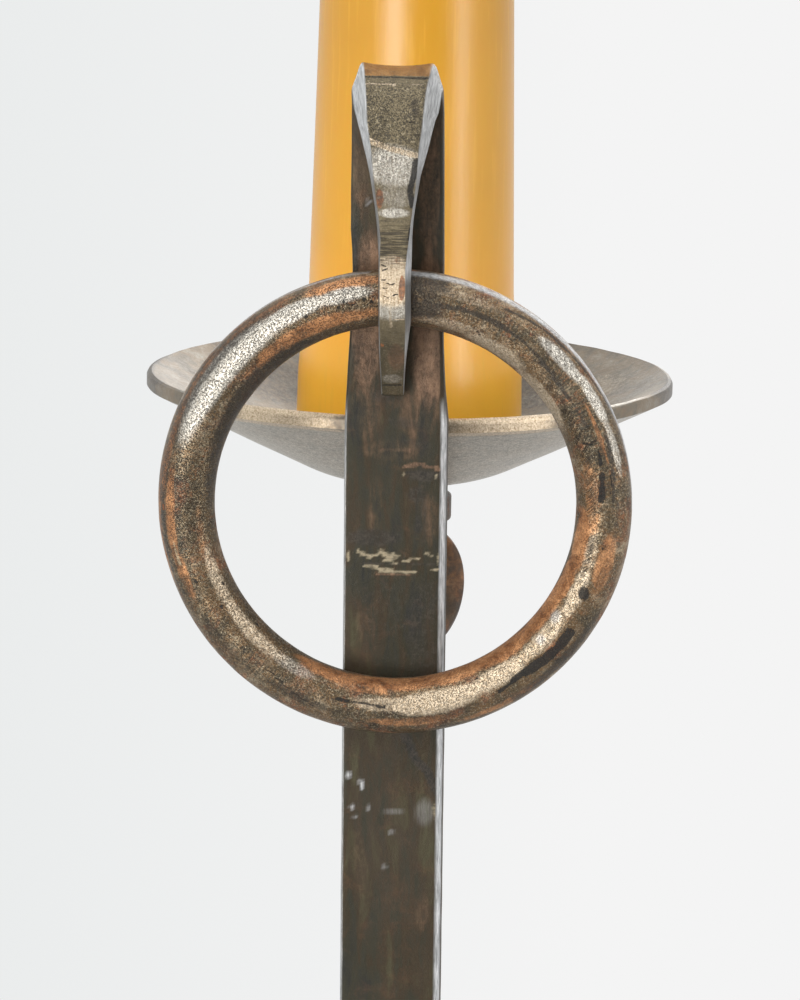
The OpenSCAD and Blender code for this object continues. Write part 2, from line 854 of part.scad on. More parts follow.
module bulb_stem() {
    flare_h = 3;
    flare_r = neck_glass_r - glass_t - 0.1;
    color(clear)
    on_candle()
        rotate_extrude()
            polygon([
                [0, glass_low], [flare_r, glass_low], [flare_r, glass_low + 1], [3, glass_low + flare_h + 4],
                [2.2, stem_glass_top], [0, stem_glass_top]
            ]);
}

module bulb_supports() {
    clear_gap = 0.1;
    from = stem_glass_top - 1;
    color(bright_steel)
    on_candle()
        difference() {
            for (a = [45, 135, 225, 315])
                rod([1.2 * cos(a), 1.2 * sin(a), from],
                    [(filament_r - 0.4) * cos(a), (filament_r - 0.4) * sin(a), filament_z - 0.5], wire_r);
            translate([0, 0, from - 1])
                cylinder(r = 2.2 + clear_gap, h = 1 + 1 + clear_gap);
        }
}

module bulb_filament() {
    color(bright_steel)
    on_candle(filament_z)
        rotate([0, 0, 40])
            rotate_extrude(angle = 290, $fn = 96)
                translate([filament_r, 0])
                    circle(r = wire_r, $fn = 16);
}

post();
hand_ring();
arm();
arm_rivets();
left_leg();
right_leg();
back_leg();
lower_collar();
upper_collar();
dish();
seat_washer();
stem_tube();
pad_washer();
pad_nut();
cord_bush();
dish_washer();
dish_nut();
sleeve_seat();
seat_nut();
sleeve();
sleeve_cap();
shade_ring();
stem_lock_nut();
holder_dome();
holder_shell();
holder_insert();
screw_shell();
centre_contact();
terminal_screws();
bulb_glass();
bulb_cap();
bulb_insulator();
bulb_tip();
bulb_stem();
bulb_supports();
bulb_filament();
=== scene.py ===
"""Looks of the forged floor lamp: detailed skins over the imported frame, materials, light and camera.

Lengths below are in millimetres, as in the part's source, and become metres in to_world().
"""

import math

import bpy
import numpy as np
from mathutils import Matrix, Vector, noise


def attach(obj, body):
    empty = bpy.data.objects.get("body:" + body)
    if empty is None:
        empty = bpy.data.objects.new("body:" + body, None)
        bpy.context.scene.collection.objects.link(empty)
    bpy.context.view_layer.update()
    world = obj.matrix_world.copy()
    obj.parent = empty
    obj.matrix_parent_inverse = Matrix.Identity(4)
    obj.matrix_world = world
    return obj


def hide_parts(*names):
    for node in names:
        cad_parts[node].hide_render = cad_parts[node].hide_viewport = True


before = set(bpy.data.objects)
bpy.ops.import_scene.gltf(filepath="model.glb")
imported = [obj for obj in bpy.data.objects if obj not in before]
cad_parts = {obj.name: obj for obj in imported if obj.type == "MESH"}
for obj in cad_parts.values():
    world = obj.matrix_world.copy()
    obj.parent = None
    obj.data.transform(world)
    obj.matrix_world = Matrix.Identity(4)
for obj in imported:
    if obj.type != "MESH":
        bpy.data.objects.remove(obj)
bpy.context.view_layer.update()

# ---------------------------------------------------------------- values shared with the part's source
POST_W, POST_T, POST_FOOT = 30.0, 10.0, 150.0
PIVOT_Z, POST_Y, PIVOT_OFF = 1383.5, -57.789, 13.3
RING_R, RING_BAR_R = 60.0, 8.0
RING_Y, RING_Z = POST_Y - PIVOT_OFF, PIVOT_Z - RING_R
BEND_R, BEND_U, BEND_V = 6.1, 11.1, 50.4
SEAT_R, SEAT_FROM = 8.6, 40.0
TIP = (5.3, -27.6)
TIP_DROP = 27.6
BELLY_T, TIP_T = 6.5, 3.2
CORNER_LEFT, CORNER_RIGHT, CORNER_BACK = 0.5, 1.4, 0.8
CANDLE_Y, PAD_Z, LEAN = POST_Y + 107.0, RING_Z - 21.1, math.radians(0.45)
RIVET_HIGH, RIVET_LOW = 5.2, -19.2
STEM_R, STEM_BORE_R = 5.0, 4.0


# ---------------------------------------------------------------- small mathematics
def smooth(t):
    s = min(max(t, 0.0), 1.0)
    return s * s * (3 - 2 * s)


def mix(a, b, t):
    return a + (b - a) * t


def lookup(x, table):
    """Value at x on a line through (x, value) pairs."""
    return float(np.interp(x, [p[0] for p in table], [p[1] for p in table]))


def arc(centre, r, start, end, steps):
    angles = np.radians(np.linspace(start, end, steps + 1))
    return [(centre[0] + r * math.cos(a), centre[1] + r * math.sin(a)) for a in angles]


def bezier(p, t):
    k = ((1 - t) ** 3, 3 * t * (1 - t) ** 2, 3 * t * t * (1 - t), t ** 3)
    return tuple(sum(k[i] * p[i][a] for i in range(4)) for a in (0, 1))


def normals(line):
    """Unit normals of a flat line, to the right of its direction."""
    d = np.gradient(np.array(line, float), axis=0)
    d /= np.linalg.norm(d, axis=1)[:, None]
    return np.stack([d[:, 1], -d[:, 0]], axis=1)


def run_lengths(line):
    d = np.linalg.norm(np.diff(np.array(line, float), axis=0), axis=1)
    return np.concatenate([[0.0], np.cumsum(d)])


def wobble(p, scale, seed=0.0):
    """Smooth noise from -1 to 1 at a point in millimetres."""
    return noise.noise(Vector((p[0] / scale + seed, p[1] / scale + 0.7 * seed, p[2] / scale - seed)))


def soften(profile, r, steps=3):
    """Closed outline with each corner rounded to about r."""
    made = []
    count = len(profile)
    for i in range(count):
        p = np.array(profile[i], float)
        a = np.array(profile[i - 1], float) - p
        b = np.array(profile[(i + 1) % count], float) - p
        la, lb = np.linalg.norm(a), np.linalg.norm(b)
        turn = abs(a[0] * b[1] - a[1] * b[0]) / (la * lb)
        cut = min(r, 0.45 * la, 0.45 * lb)
        if turn < 0.2:
            made.append(tuple(p))
            continue
        start, end = p + a / la * cut, p + b / lb * cut
        for k in range(steps + 1):
            t = k / steps
            q = start * (1 - t) ** 2 + p * 2 * t * (1 - t) + end * t * t
            made.append((float(q[0]), float(q[1])))
    return made


def fill_in(line, step):
    """Line with points added so that none are further apart than step."""
    made = [tuple(line[0])]
    for a, b in zip(line[:-1], line[1:]):
        n = max(1, int(math.ceil(math.dist(a, b) / step)))
        made += [tuple(mix(a[k], b[k], i / n) for k in range(len(a))) for i in range(1, n + 1)]
    return made


# ---------------------------------------------------------------- mesh building
def to_world(points):
    return np.array(points, float) * 0.001


def on_candle(points):
    """Points on the candle's own axis, carried to the row's frame."""
    p = np.array(points, float)
    x = p[:, 0] * math.cos(LEAN) + p[:, 2] * math.sin(LEAN)
    z = -p[:, 0] * math.sin(LEAN) + p[:, 2] * math.cos(LEAN)
    return np.stack([x, p[:, 1] + CANDLE_Y, z + PAD_Z], axis=1)


def grid_faces(rows, cols, first=0, round_rows=False):
    """Faces of a grid closed across its columns, and along its rows if asked."""
    faces = []
    for i in range(rows if round_rows else rows - 1):
        low, high = first + i * cols, first + ((i + 1) % rows) * cols
        for j in range(cols):
            k = (j + 1) % cols
            faces.append((low + j, low + k, high + k, high + j))
    return faces


def build(name, points, faces, material, smooth_shade=True):
    mesh = bpy.data.meshes.new(name)
    mesh.from_pydata([tuple(p) for p in to_world(points)], [], faces)
    mesh.update()
    if smooth_shade:
        mesh.shade_smooth()
    obj = bpy.data.objects.new(name, mesh)
    bpy.context.scene.collection.objects.link(obj)
    mesh.materials.append(material)
    return obj


def put_vectors(obj, name, values):
    layer = obj.data.attributes.new(name, "FLOAT_VECTOR", "POINT")
    layer.data.foreach_set("vector", np.array(values, np.float32).ravel())


def put_masks(obj, name, values):
    layer = obj.data.attributes.new(name, "FLOAT_COLOR", "POINT")
    layer.data.foreach_set("color", np.clip(np.array(values, np.float32), 0, 1).ravel())


def put_paint(obj, wear_and_painted_light=None, marks=None, zone=None):
    """Three layers of four masks each; a layer left out stays clean."""
    clean = np.zeros((len(obj.data.vertices), 4))
    for name, values in (("wear_and_painted_light", wear_and_painted_light), ("marks", marks), ("zone", zone)):
        put_masks(obj, name, clean if values is None else values)


def dress(obj, body, slot_name, *nodes):
    """Rides on its body and stands for its nodes; slot_name is not used."""
    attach(obj, body)
    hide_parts(*nodes)
    return obj


def face_out(obj):
    """Turns all faces outwards."""
    import bmesh
    bm = bmesh.new()
    bm.from_mesh(obj.data)
    bmesh.ops.recalc_face_normals(bm, faces=bm.faces)
    bm.to_mesh(obj.data)
    bm.free()
    return obj


def hold_edges(obj, degrees):
    """Keeps edges sharper than this crisp in the smooth shading."""
    obj.data.set_sharp_from_angle(angle=math.radians(degrees))
    return obj


# ---------------------------------------------------------------- wear painted over surfaces
# Channels of the soft layer (first in put_paint), which holds rubbed places and also painted highlights, painted
# reflections and painted shade, of the crisp layer "marks", whose polish channel also carries painted reflections, and
# of the layer of plain "zones", one of which is a painted reflection of the sleeve.
DARK, COPPER, BARE_AND_HIGHLIGHT, PALE = 0, 1, 2, 3
CUT, RUST, POLISH_AND_REFLECTION, FLECK = 0, 1, 2, 3
OLIVE, PITTED, HATCHED, AMBER_REFLECTION = 0, 1, 2, 3


def blob(along, across, mask, spec):
    """Soft ellipse: (channel, centre along, centre across, half length, half width, turn, strength)."""
    channel, a0, c0, length, width, turn, strength = spec
    t = math.radians(turn)
    da, dc = along - a0, across - c0
    p = (da * math.cos(t) + dc * math.sin(t)) / length
    q = (-da * math.sin(t) + dc * math.cos(t)) / width
    d = np.sqrt(p * p + q * q)
    s = np.clip((1.35 - d) / 0.8, 0, 1)
    mask[:, channel] = np.maximum(mask[:, channel], strength * s * s * (3 - 2 * s))


def stroke(along, across, mask, spec):
    """Soft line through points: (channel, [(along, across), …], half width, strength)."""
    channel, line, width, strength = spec
    best = np.full(len(along), 1e9)
    for a, b in zip(line[:-1], line[1:]):
        d = np.array(b, float) - np.array(a, float)
        t = np.clip(((along - a[0]) * d[0] + (across - a[1]) * d[1]) / max(d @ d, 1e-9), 0, 1)
        best = np.minimum(best, np.hypot(along - a[0] - t * d[0], across - a[1] - t * d[1]))
    s = np.clip((1.4 * width - best) / (0.8 * width), 0, 1)
    mask[:, channel] = np.maximum(mask[:, channel], strength * s * s * (3 - 2 * s))


def paint(along, across, blobs, strokes=()):
    mask = np.zeros((len(along), 4))
    for spec in blobs:
        blob(along, across, mask, spec)
    for spec in strokes:
        stroke(along, across, mask, spec)
    return mask


# ---------------------------------------------------------------- shader helper
def tone(red, green, blue):
    """Colour given as 0 to 255 screen values, made linear."""
    values = [c / 255 for c in (red, green, blue)]
    return tuple(c / 12.92 if c <= 0.04045 else ((c + 0.055) / 1.055) ** 2.4 for c in values) + (1.0,)


class Shade:
    """Short names for the nodes of one material."""

    def __init__(self, name):
        self.material = bpy.data.materials.new(name)
        self.material.use_nodes = True
        self.tree = self.material.node_tree
        self.tree.nodes.clear()

    def add(self, kind, inputs, **settings):
        made = self.tree.nodes.new("ShaderNode" + kind)
        for key, value in settings.items():
            setattr(made, key, value)
        for key, value in inputs.items():
            if isinstance(value, bpy.types.NodeSocket):
                self.tree.links.new(value, made.inputs[key])
            else:
                made.inputs[key].default_value = value
        return made

    def attribute(self, name, output="Vector"):
        return self.add("Attribute", {}, attribute_name=name).outputs[output]

    def place(self, factor=1000.0):
        """The point on the object at rest, in millimetres."""
        spot = self.add("TexCoord", {}).outputs["Object"]
        return self.add("VectorMath", {0: spot, 1: (factor,) * 3}, operation="MULTIPLY").outputs[0]

    def stretch(self, where, x, y, z):
        return self.add("VectorMath", {0: where, 1: (x, y, z)}, operation="MULTIPLY").outputs[0]

    def shift(self, where, far):
        return self.add("VectorMath", {0: where, 1: (far, far * 0.6, far * 1.7)}, operation="ADD").outputs[0]

    def noise(self, where, size, detail=4.0, rough=0.6, distort=0.0):
        """Noise from 0 to 1 whose features are about size millimetres wide."""
        inputs = {"Vector": where, "Scale": 1.0 / size, "Detail": detail, "Roughness": rough,
                  "Distortion": distort}
        return self.add("TexNoise", inputs).outputs[0]

    def cells(self, where, size, feature="F1"):
        return self.add("TexVoronoi", {"Vector": where, "Scale": 1.0 / size}, feature=feature).outputs["Distance"]

    def math(self, operation, a, b=0.0, clamp=False):
        return self.add("Math", {0: a, 1: b}, operation=operation, use_clamp=clamp).outputs[0]

    def step(self, value, low, high, to_low=0.0, to_high=1.0):
        inputs = {"Value": value, "From Min": low, "From Max": high, "To Min": to_low, "To Max": to_high}
        return self.add("MapRange", inputs, interpolation_type="SMOOTHSTEP").outputs[0]

    def blend(self, factor, a, b):
        made = self.tree.nodes.new("ShaderNodeMix")
        made.data_type = "RGBA"
        for index, value in ((0, factor), (6, a), (7, b)):
            if isinstance(value, bpy.types.NodeSocket):
                self.tree.links.new(value, made.inputs[index])
            else:
                made.inputs[index].default_value = value
        return made.outputs[2]

    def layer(self, name):
        """The four masks of a painted layer."""
        parts = self.add("SeparateColor", {0: self.attribute(name, "Color")}).outputs
        return [parts[0], parts[1], parts[2], self.attribute(name, "Alpha")]

    def mix_value(self, factor, a, b):
        """Number between a and b, by the factor."""
        return self.math("ADD", self.math("MULTIPLY", self.math("SUBTRACT", b, a), factor), a)

    def ramp(self, value, *stops):
        made = self.add("ValToRGB", {0: value})
        ramp = made.color_ramp
        while len(ramp.elements) < len(stops):
            ramp.elements.new(0.5)
        for element, (position, colour) in zip(ramp.elements, stops):
            element.position = position
            element.color = colour
        return made.outputs[0]

    def bump(self, height, depth, strength=1.0, normal=None):
        """Bump of about depth millimetres."""
        inputs = {"Height": height, "Distance": depth * 0.001, "Strength": strength}
        if normal is not None:
            inputs["Normal"] = normal
        return self.add("Bump", inputs).outputs[0]

    def finish(self, colour, rough, metal=0.0, normal=None, **fixed):
        inputs = {"Base Color": colour, "Roughness": rough, "Metallic": metal}
        if normal is not None:
            inputs["Normal"] = normal
        inputs.update({key.replace("_", " "): value for key, value in fixed.items()})
        shader = self.add("BsdfPrincipled", inputs)
        out = self.add("OutputMaterial", {})
        self.tree.links.new(shader.outputs[0], out.inputs[0])
        return self.material


def broken(sh, mask, grit, reach=3.0, low=0.38, high=0.62):
    """Mask whose border is eaten into by a noise."""
    lifted = sh.math("ADD", sh.math("MULTIPLY", sh.math("SUBTRACT", grit, 0.5), reach), 1.0)
    return sh.step(sh.math("MULTIPLY", mask, lifted), low, high)


# ---------------------------------------------------------------- materials
RUST_DEEP, RUST_LIGHT = tone(84, 50, 32), tone(156, 98, 58)
COAL, SOOT = tone(20, 18, 17), tone(36, 31, 26)


class Iron:
    """What sets one piece's iron apart: four tones, strength of specks and rust, gloss, relief in mm."""

    def __init__(self, tones, speckle=0.5, rust=0.3, metal=(0.3, 0.6), rough=(0.56, 0.42),
                 relief=(0.16, 0.1), lines=(1.0, 0.08, 1.0), hatch=0.0, copper=None,
                 olive=None, streaky=False, flow=(1, 1, 1)):
        self.tones, self.speckle, self.rust, self.metal = tones, speckle, rust, metal
        self.rough, self.relief, self.lines, self.hatch = rough, relief, lines, hatch
        self.copper = copper or (tone(104, 68, 42), tone(166, 118, 78))
        self.olive, self.streaky = olive or (tone(84, 74, 54), tone(132, 120, 94)), streaky
        self.flow = flow


class Grain:
    """The noises that all parts of one iron share."""

    def __init__(self, sh, kind, painted):
        where = sh.place()
        self.along = sh.attribute("grain") if painted else where
        flow = sh.stretch(where, *kind.flow)
        self.broad = sh.noise(flow, 24, 4, 0.6, 0.3)
        self.patchy = sh.noise(flow, 6.0, 6, 0.66, 0.5)
        self.grit = sh.noise(sh.shift(where, 31), 1.5, 5, 0.7)
        self.fine = sh.noise(sh.shift(where, 57), 0.55, 3, 0.7)
        self.finer = sh.noise(sh.shift(where, 83), 0.44, 3, 0.65)
        self.brushed = sh.noise(sh.stretch(self.along, *kind.lines), 0.5, 4, 0.62)
        self.dashed = sh.noise(sh.stretch(self.along, 0.45, 1.0, 1.0), 0.9, 4, 0.62)
        turned = sh.add("Mapping", {"Vector": self.along, "Rotation": (0, 0, math.radians(kind.hatch))}).outputs[0]
        self.hatch = sh.noise(sh.stretch(turned, 0.07, 1.0, 0.3), 0.5, 2, 0.5)
        self.mixed = sh.math("ADD", sh.math("MULTIPLY", self.broad, 0.4), sh.math("MULTIPLY", self.patchy, 0.6))


class Coat:
    """Colour, metal, roughness and height of a surface while it is built up in layers."""

    def __init__(self, sh, colour, metal, rough, height):
        self.sh, self.colour, self.metal, self.rough, self.height = sh, colour, metal, rough, height

    def lay(self, mask, colour, strength=1.0, metal=None, rough=None, lift=0.0):
        sh = self.sh
        cover = mask if strength == 1.0 else sh.math("MULTIPLY", mask, strength)
        self.colour = sh.blend(cover, self.colour, colour)
        if metal is not None:
            self.metal = sh.mix_value(cover, self.metal, metal)
        if rough is not None:
            self.rough = sh.mix_value(cover, self.rough, rough)
        if lift:
            self.height = sh.math("ADD", self.height, sh.math("MULTIPLY", mask, lift))


def iron(name, kind, painted=True):
    """Forged iron: mottled oxide, dense fine grain, rust in patches, and on painted pieces places rubbed bare together
    with painted highlights, reflections and shade.
    """
    sh = Shade(name)
    g = Grain(sh, kind, painted)
    deep, middle, warm, light = kind.tones
    height = sh.math("ADD", sh.math("MULTIPLY", g.grit, kind.relief[0]), sh.math("MULTIPLY", g.fine, kind.relief[1]))
    coat = Coat(sh, sh.ramp(g.mixed, (0.36, deep), (0.46, middle), (0.54, warm), (0.66, light)),
                sh.step(g.patchy, 0.36, 0.64, *kind.metal), sh.step(g.grit, 0.3, 0.7, *kind.rough), height)
    rusty = sh.step(sh.noise(sh.shift(sh.place(), 12), 9, 5, 0.7, 0.6), 0.5, 0.66, 0.0, kind.rust * 1.6)
    coat.lay(rusty, sh.ramp(g.grit, (0.4, RUST_DEEP), (0.62, RUST_LIGHT)), metal=0.1, rough=0.66)
    coat.lay(sh.step(g.fine, 0.5, 0.66, 0.0, kind.speckle), light, metal=0.9)
    coat.lay(sh.step(g.finer, 0.48, 0.36, 0.0, kind.speckle * 1.2), SOOT, 0.8, metal=0.1, lift=-0.12)
    if painted:
        lay_wear_and_painted_light(sh, g, coat, kind)
    return sh.finish(coat.colour, coat.rough, coat.metal, sh.bump(coat.height, 1.0))


def lay_wear_and_painted_light(sh, g, coat, kind):
    """Lays on the zones, the rubbed places and the marks that were painted over the piece, painted highlights,
    reflections and shade among them.
    """
    wear_and_painted_light, crisp, zone = sh.layer("wear_and_painted_light"), sh.layer("marks"), sh.layer("zone")
    olive, dull = sh.ramp(g.mixed, (0.38, kind.olive[0]), (0.62, kind.olive[1])), zone[OLIVE]
    if kind.streaky:
        streaks = sh.noise(sh.stretch(g.along, 0.1, 1.0, 1.0), 0.8, 4, 0.62)
        dull = sh.math("MULTIPLY", dull, sh.step(streaks, 0.42, 0.56))
    coat.lay(dull, olive, 0.85, metal=0.35)
    # Painted reflection of the amber sleeve on the top of the hook's bend.
    sleeve_reflection_tone = sh.ramp(g.patchy, (0.4, tone(132, 92, 50)), (0.6, tone(176, 130, 76)))
    coat.lay(broken(sh, zone[AMBER_REFLECTION], g.patchy, 1.0), sleeve_reflection_tone, 0.8, metal=0.85, rough=0.34)
    coat.lay(sh.math("MULTIPLY", sh.step(g.fine, 0.52, 0.64), zone[PITTED]), tone(176, 164, 138), 0.7, metal=0.8)
    soft = sh.math("ADD", sh.math("MULTIPLY", g.grit, 0.4), sh.math("MULTIPLY", g.patchy, 0.6))
    orange = sh.ramp(soft, (0.38, kind.copper[0]), (0.6, kind.copper[1]))
    coat.lay(broken(sh, wear_and_painted_light[COPPER], g.patchy, 2.2, 0.2, 0.8), orange, 0.9, metal=0.6, rough=0.38)
    mealy = sh.math("ADD", sh.math("MULTIPLY", g.fine, 0.6), sh.math("MULTIPLY", g.brushed, 0.4))
    # Bright steel: places rubbed bare, and painted highlights on the ring, hook and dish.
    steel = sh.ramp(mealy, (0.38, tone(146, 138, 126)), (0.6, tone(228, 223, 212)))
    coat.lay(broken(sh, wear_and_painted_light[BARE_AND_HIGHLIGHT], g.grit, 1.3, 0.15, 0.85), steel, metal=0.92, rough=0.32)
    # Cream: pale rubbed places, and painted highlights and reflections.
    cream = sh.ramp(mealy, (0.36, tone(156, 134, 106)), (0.6, tone(220, 203, 178)))
    coat.lay(broken(sh, wear_and_painted_light[PALE], g.grit, 2.0, 0.2, 0.8), cream, metal=0.75, rough=0.36)
    # Dark: dark marks, and painted shade on the ring, hook and dish.
    shadow = sh.ramp(g.grit, (0.4, tone(26, 23, 20)), (0.6, tone(58, 50, 41)))
    coat.lay(broken(sh, wear_and_painted_light[DARK], g.grit, 2.6, 0.2, 0.9), shadow, 0.85, metal=0.2)
    rust = sh.ramp(g.grit, (0.4, RUST_DEEP), (0.6, RUST_LIGHT))
    coat.lay(broken(sh, crisp[RUST], g.grit, 2.0), rust, 0.85, metal=0.1, rough=0.66)
    # File-bright metal for the polish channel, which also carries painted reflections on the hook's bevels and the
    # ring's outer side.
    filed_and_reflected = sh.ramp(g.brushed, (0.36, tone(150, 151, 152)), (0.62, tone(222, 223, 224)))
    coat.lay(crisp[POLISH_AND_REFLECTION], filed_and_reflected, metal=0.75, rough=0.4)
    coat.lay(broken(sh, crisp[FLECK], g.dashed, 2.6, 0.15, 0.95), tone(176, 162, 134), 0.75, metal=0.3, rough=0.5)
    pitted = sh.math("MULTIPLY", sh.step(g.finer, 0.5, 0.42), zone[PITTED])
    coat.lay(pitted, SOOT, 0.85, metal=0.1, lift=-0.12)
    lines = sh.math("MULTIPLY", sh.step(g.hatch, 0.54, 0.43), zone[HATCHED])
    coat.lay(lines, SOOT, 0.7, metal=0.3, lift=-0.15)
    coat.lay(broken(sh, crisp[CUT], g.fine, 3.0, 0.3, 0.7), COAL, 0.92, metal=0.1, rough=0.7, lift=-0.25)
    bright = sh.math("MAXIMUM", wear_and_painted_light[BARE_AND_HIGHLIGHT], sh.math("MAXIMUM", wear_and_painted_light[PALE], crisp[POLISH_AND_REFLECTION]))
    drawn = sh.math("MULTIPLY", sh.math("MULTIPLY", bright, g.brushed), 0.1)
    coat.height = sh.math("ADD", coat.height, drawn)


def plated_steel(name):
    sh = Shade(name)
    where = sh.place()
    grit = sh.noise(where, 0.9, 5, 0.6)
    broad = sh.noise(where, 9, 4, 0.6, 0.5)
    base = sh.ramp(broad, (0.35, tone(126, 124, 118)), (0.55, tone(176, 174, 168)), (0.7, tone(196, 192, 180)))
    base = sh.blend(sh.step(grit, 0.58, 0.7, 0.0, 0.6), base, tone(104, 92, 74))
    rough = sh.step(grit, 0.3, 0.7, 0.28, 0.46)
    return sh.finish(base, rough, 0.9, sh.bump(grit, 0.03))


def brass(name):
    sh = Shade(name)
    where = sh.place()
    grit = sh.noise(where, 1.2, 5, 0.6)
    broad = sh.noise(where, 6, 4, 0.6, 0.6)
    base = sh.ramp(broad, (0.35, tone(150, 116, 58)), (0.55, tone(204, 168, 96)), (0.7, tone(222, 190, 120)))
    base = sh.blend(sh.step(grit, 0.6, 0.72, 0.0, 0.5), base, tone(110, 84, 44))
    rough = sh.step(grit, 0.3, 0.7, 0.22, 0.4)
    return sh.finish(base, rough, 0.95, sh.bump(grit, 0.02))


def dark_enamel(name):
    sh = Shade(name)
    where = sh.place()
    grit = sh.noise(where, 1.0, 5, 0.6)
    broad = sh.noise(where, 14, 4, 0.6, 0.4)
    base = sh.ramp(broad, (0.35, tone(38, 33, 28)), (0.6, tone(62, 54, 44)), (0.75, tone(84, 70, 52)))
    base = sh.blend(sh.step(grit, 0.62, 0.74, 0.0, 0.5), base, tone(130, 112, 82))
    rough = sh.step(grit, 0.3, 0.7, 0.3, 0.5)
    return sh.finish(base, rough, 0.35, sh.bump(grit, 0.04))


def amber(name):
    """The sleeve's waxy amber plastic, a little cloudy, with faint drawn lines and scuffs, painted brighter towards its
    foot as light thrown up from the dish and darker towards its top.
    """
    sh = Shade(name)
    where = sh.attribute("grain")
    cloud = sh.noise(where, 30, 4, 0.55, 0.3)
    drawn = sh.noise(sh.stretch(where, 1.0, 1.0, 0.05), 1.6, 4, 0.55)
    grit = sh.noise(where, 0.8, 4, 0.6)
    # Painted light: the base colour runs from bright at the foot to darker at the top, with a cloud mixed in.
    height = sh.math("MULTIPLY", sh.math("SUBTRACT", sh.add("SeparateXYZ", {0: where}).outputs[2], SLEEVE_Z), 1 / 140)
    uneven = sh.math("ADD", height, sh.math("MULTIPLY", sh.math("SUBTRACT", cloud, 0.5), 0.3))
    base = sh.ramp(uneven, (0.1, tone(255, 188, 46)), (0.3, tone(240, 170, 34)), (0.5, tone(223, 160, 27)),
                   (0.7, tone(213, 153, 24)), (0.95, tone(202, 144, 20)))
    base = sh.blend(sh.step(drawn, 0.52, 0.7, 0.0, 0.22), base, tone(236, 180, 58))
    base = sh.blend(sh.step(grit, 0.6, 0.74, 0.0, 0.14), base, tone(204, 136, 34))
    rough = sh.step(sh.math("ADD", sh.math("MULTIPLY", grit, 0.5), sh.math("MULTIPLY", drawn, 0.5)), 0.35, 0.65, 0.29, 0.37)
    height = sh.math("ADD", sh.math("MULTIPLY", drawn, 0.6), sh.math("MULTIPLY", grit, 0.25))
    return sh.finish(base, rough, 0.0, sh.bump(height, 0.05), Subsurface_Weight=0.12, Subsurface_Scale=0.004,
                     Specular_IOR_Level=0.85)


def plastic(name):
    sh = Shade(name)
    grit = sh.noise(sh.place(), 0.5, 4, 0.6)
    base = sh.ramp(grit, (0.4, tone(26, 26, 27)), (0.62, tone(44, 44, 45)))
    return sh.finish(base, sh.step(grit, 0.3, 0.7, 0.42, 0.6), 0.0, sh.bump(grit, 0.04))


def porcelain(name):
    sh = Shade(name)
    cloud = sh.noise(sh.place(), 5, 4, 0.6)
    base = sh.ramp(cloud, (0.4, tone(216, 210, 198)), (0.62, tone(236, 232, 222)))
    return sh.finish(base, sh.step(cloud, 0.3, 0.7, 0.16, 0.3), 0.0, sh.bump(cloud, 0.05))


def black_glass(name):
    sh = Shade(name)
    cloud = sh.noise(sh.place(), 2.5, 4, 0.6)
    base = sh.ramp(cloud, (0.4, tone(20, 16, 26)), (0.65, tone(44, 36, 54)))
    return sh.finish(base, sh.step(cloud, 0.3, 0.7, 0.08, 0.2), 0.0, sh.bump(cloud, 0.05))


def solder(name):
    sh = Shade(name)
    grit = sh.noise(sh.place(), 1.4, 5, 0.65, 0.5)
    base = sh.ramp(grit, (0.35, tone(128, 128, 126)), (0.65, tone(198, 198, 196)))
    return sh.finish(base, sh.step(grit, 0.3, 0.7, 0.3, 0.5), 0.85, sh.bump(grit, 0.12))


def wire(name):
    sh = Shade(name)
    grit = sh.noise(sh.place(), 0.5, 4, 0.6)
    base = sh.ramp(grit, (0.35, tone(92, 92, 94)), (0.65, tone(150, 150, 152)))
    return sh.finish(base, sh.step(grit, 0.3, 0.7, 0.3, 0.45), 0.9, sh.bump(grit, 0.02))


def glass(name):
    sh = Shade(name)
    ripple = sh.noise(sh.place(), 18, 2, 0.4)
    base = sh.ramp(ripple, (0.3, tone(244, 248, 248)), (0.7, tone(252, 254, 254)))
    return sh.finish(base, sh.step(ripple, 0.3, 0.7, 0.0, 0.03), 0.0, sh.bump(ripple, 0.03), Transmission_Weight=1.0, IOR=1.45)


# ---------------------------------------------------------------- post and hook
EDGE_POINTS = (30, 3, 6, 10, 30, 10, 6, 3)


# Left and right edge of the shaft's front, by height above the ring's pivot.
SHAFT_EDGES = [(-38.0, -15.15, 14.8), (-30.0, -14.75, 13.9), (-22.5, -14.4, 13.4), (-16.7, -14.1, 13.15),
               (-4.0, -13.5, 13.0), (6.5, -13.25, 13.0), (12.3, -13.45, 12.95), (18.0, -13.9, 12.9), (50.4, -13.85, 12.45)]
# Edges of the bent part, by distance past the end of the bend along its inner line: outer face's left
# and right, then inner face's left and right.
HOOK_EDGES = [
    (-19.2, -13.05, 11.65, -13.85, 12.45), (-12.5, -11.6, 10.2, -13.75, 12.1), (-9.6, -10.9, 9.4, -13.6, 11.9),
    (-6.4, -10.1, 8.5, -13.3, 11.8), (-3.9, -9.5, 7.55, -13.0, 11.55), (-2.1, -9.1, 7.2, -12.5, 11.2),
    (-0.4, -8.9, 6.8, -11.85, 10.4), (3.0, -8.3, 6.4, -10.9, 9.5), (6.7, -7.7, 5.9, -9.95, 8.7),
    (10.8, -7.35, 5.67, -8.9, 7.6), (15.1, -6.9, 5.4, -8.0, 6.45), (19.4, -6.33, 4.96, -7.3, 5.75),
    (23.8, -5.75, 4.41, -6.55, 5.0), (28.3, -5.2, 3.9, -6.0, 4.45), (33.0, -4.7, 3.4, -5.6, 4.2),
    (38.2, -4.82, 2.83, -5.25, 4.15), (45.6, -4.84, 2.47, -5.1, 4.1), (50.8, -4.63, 2.67, -5.0, 4.2),
    (56.5, -4.64, 2.69, -5.0, 4.3), (61.7, -4.65, 2.6, -5.0, 3.7), (68.6, -4.67, 2.43, -5.0, 3.0),
    (75.0, -4.5, 2.15, -4.8, 2.5), (82.5, -4.35, 1.88, -4.55, 2.1),
]
CREST, CREST_WIDE, CREST_HOLLOW, CREST_HORN = -9.6, 3.2, 0.75, 0.35


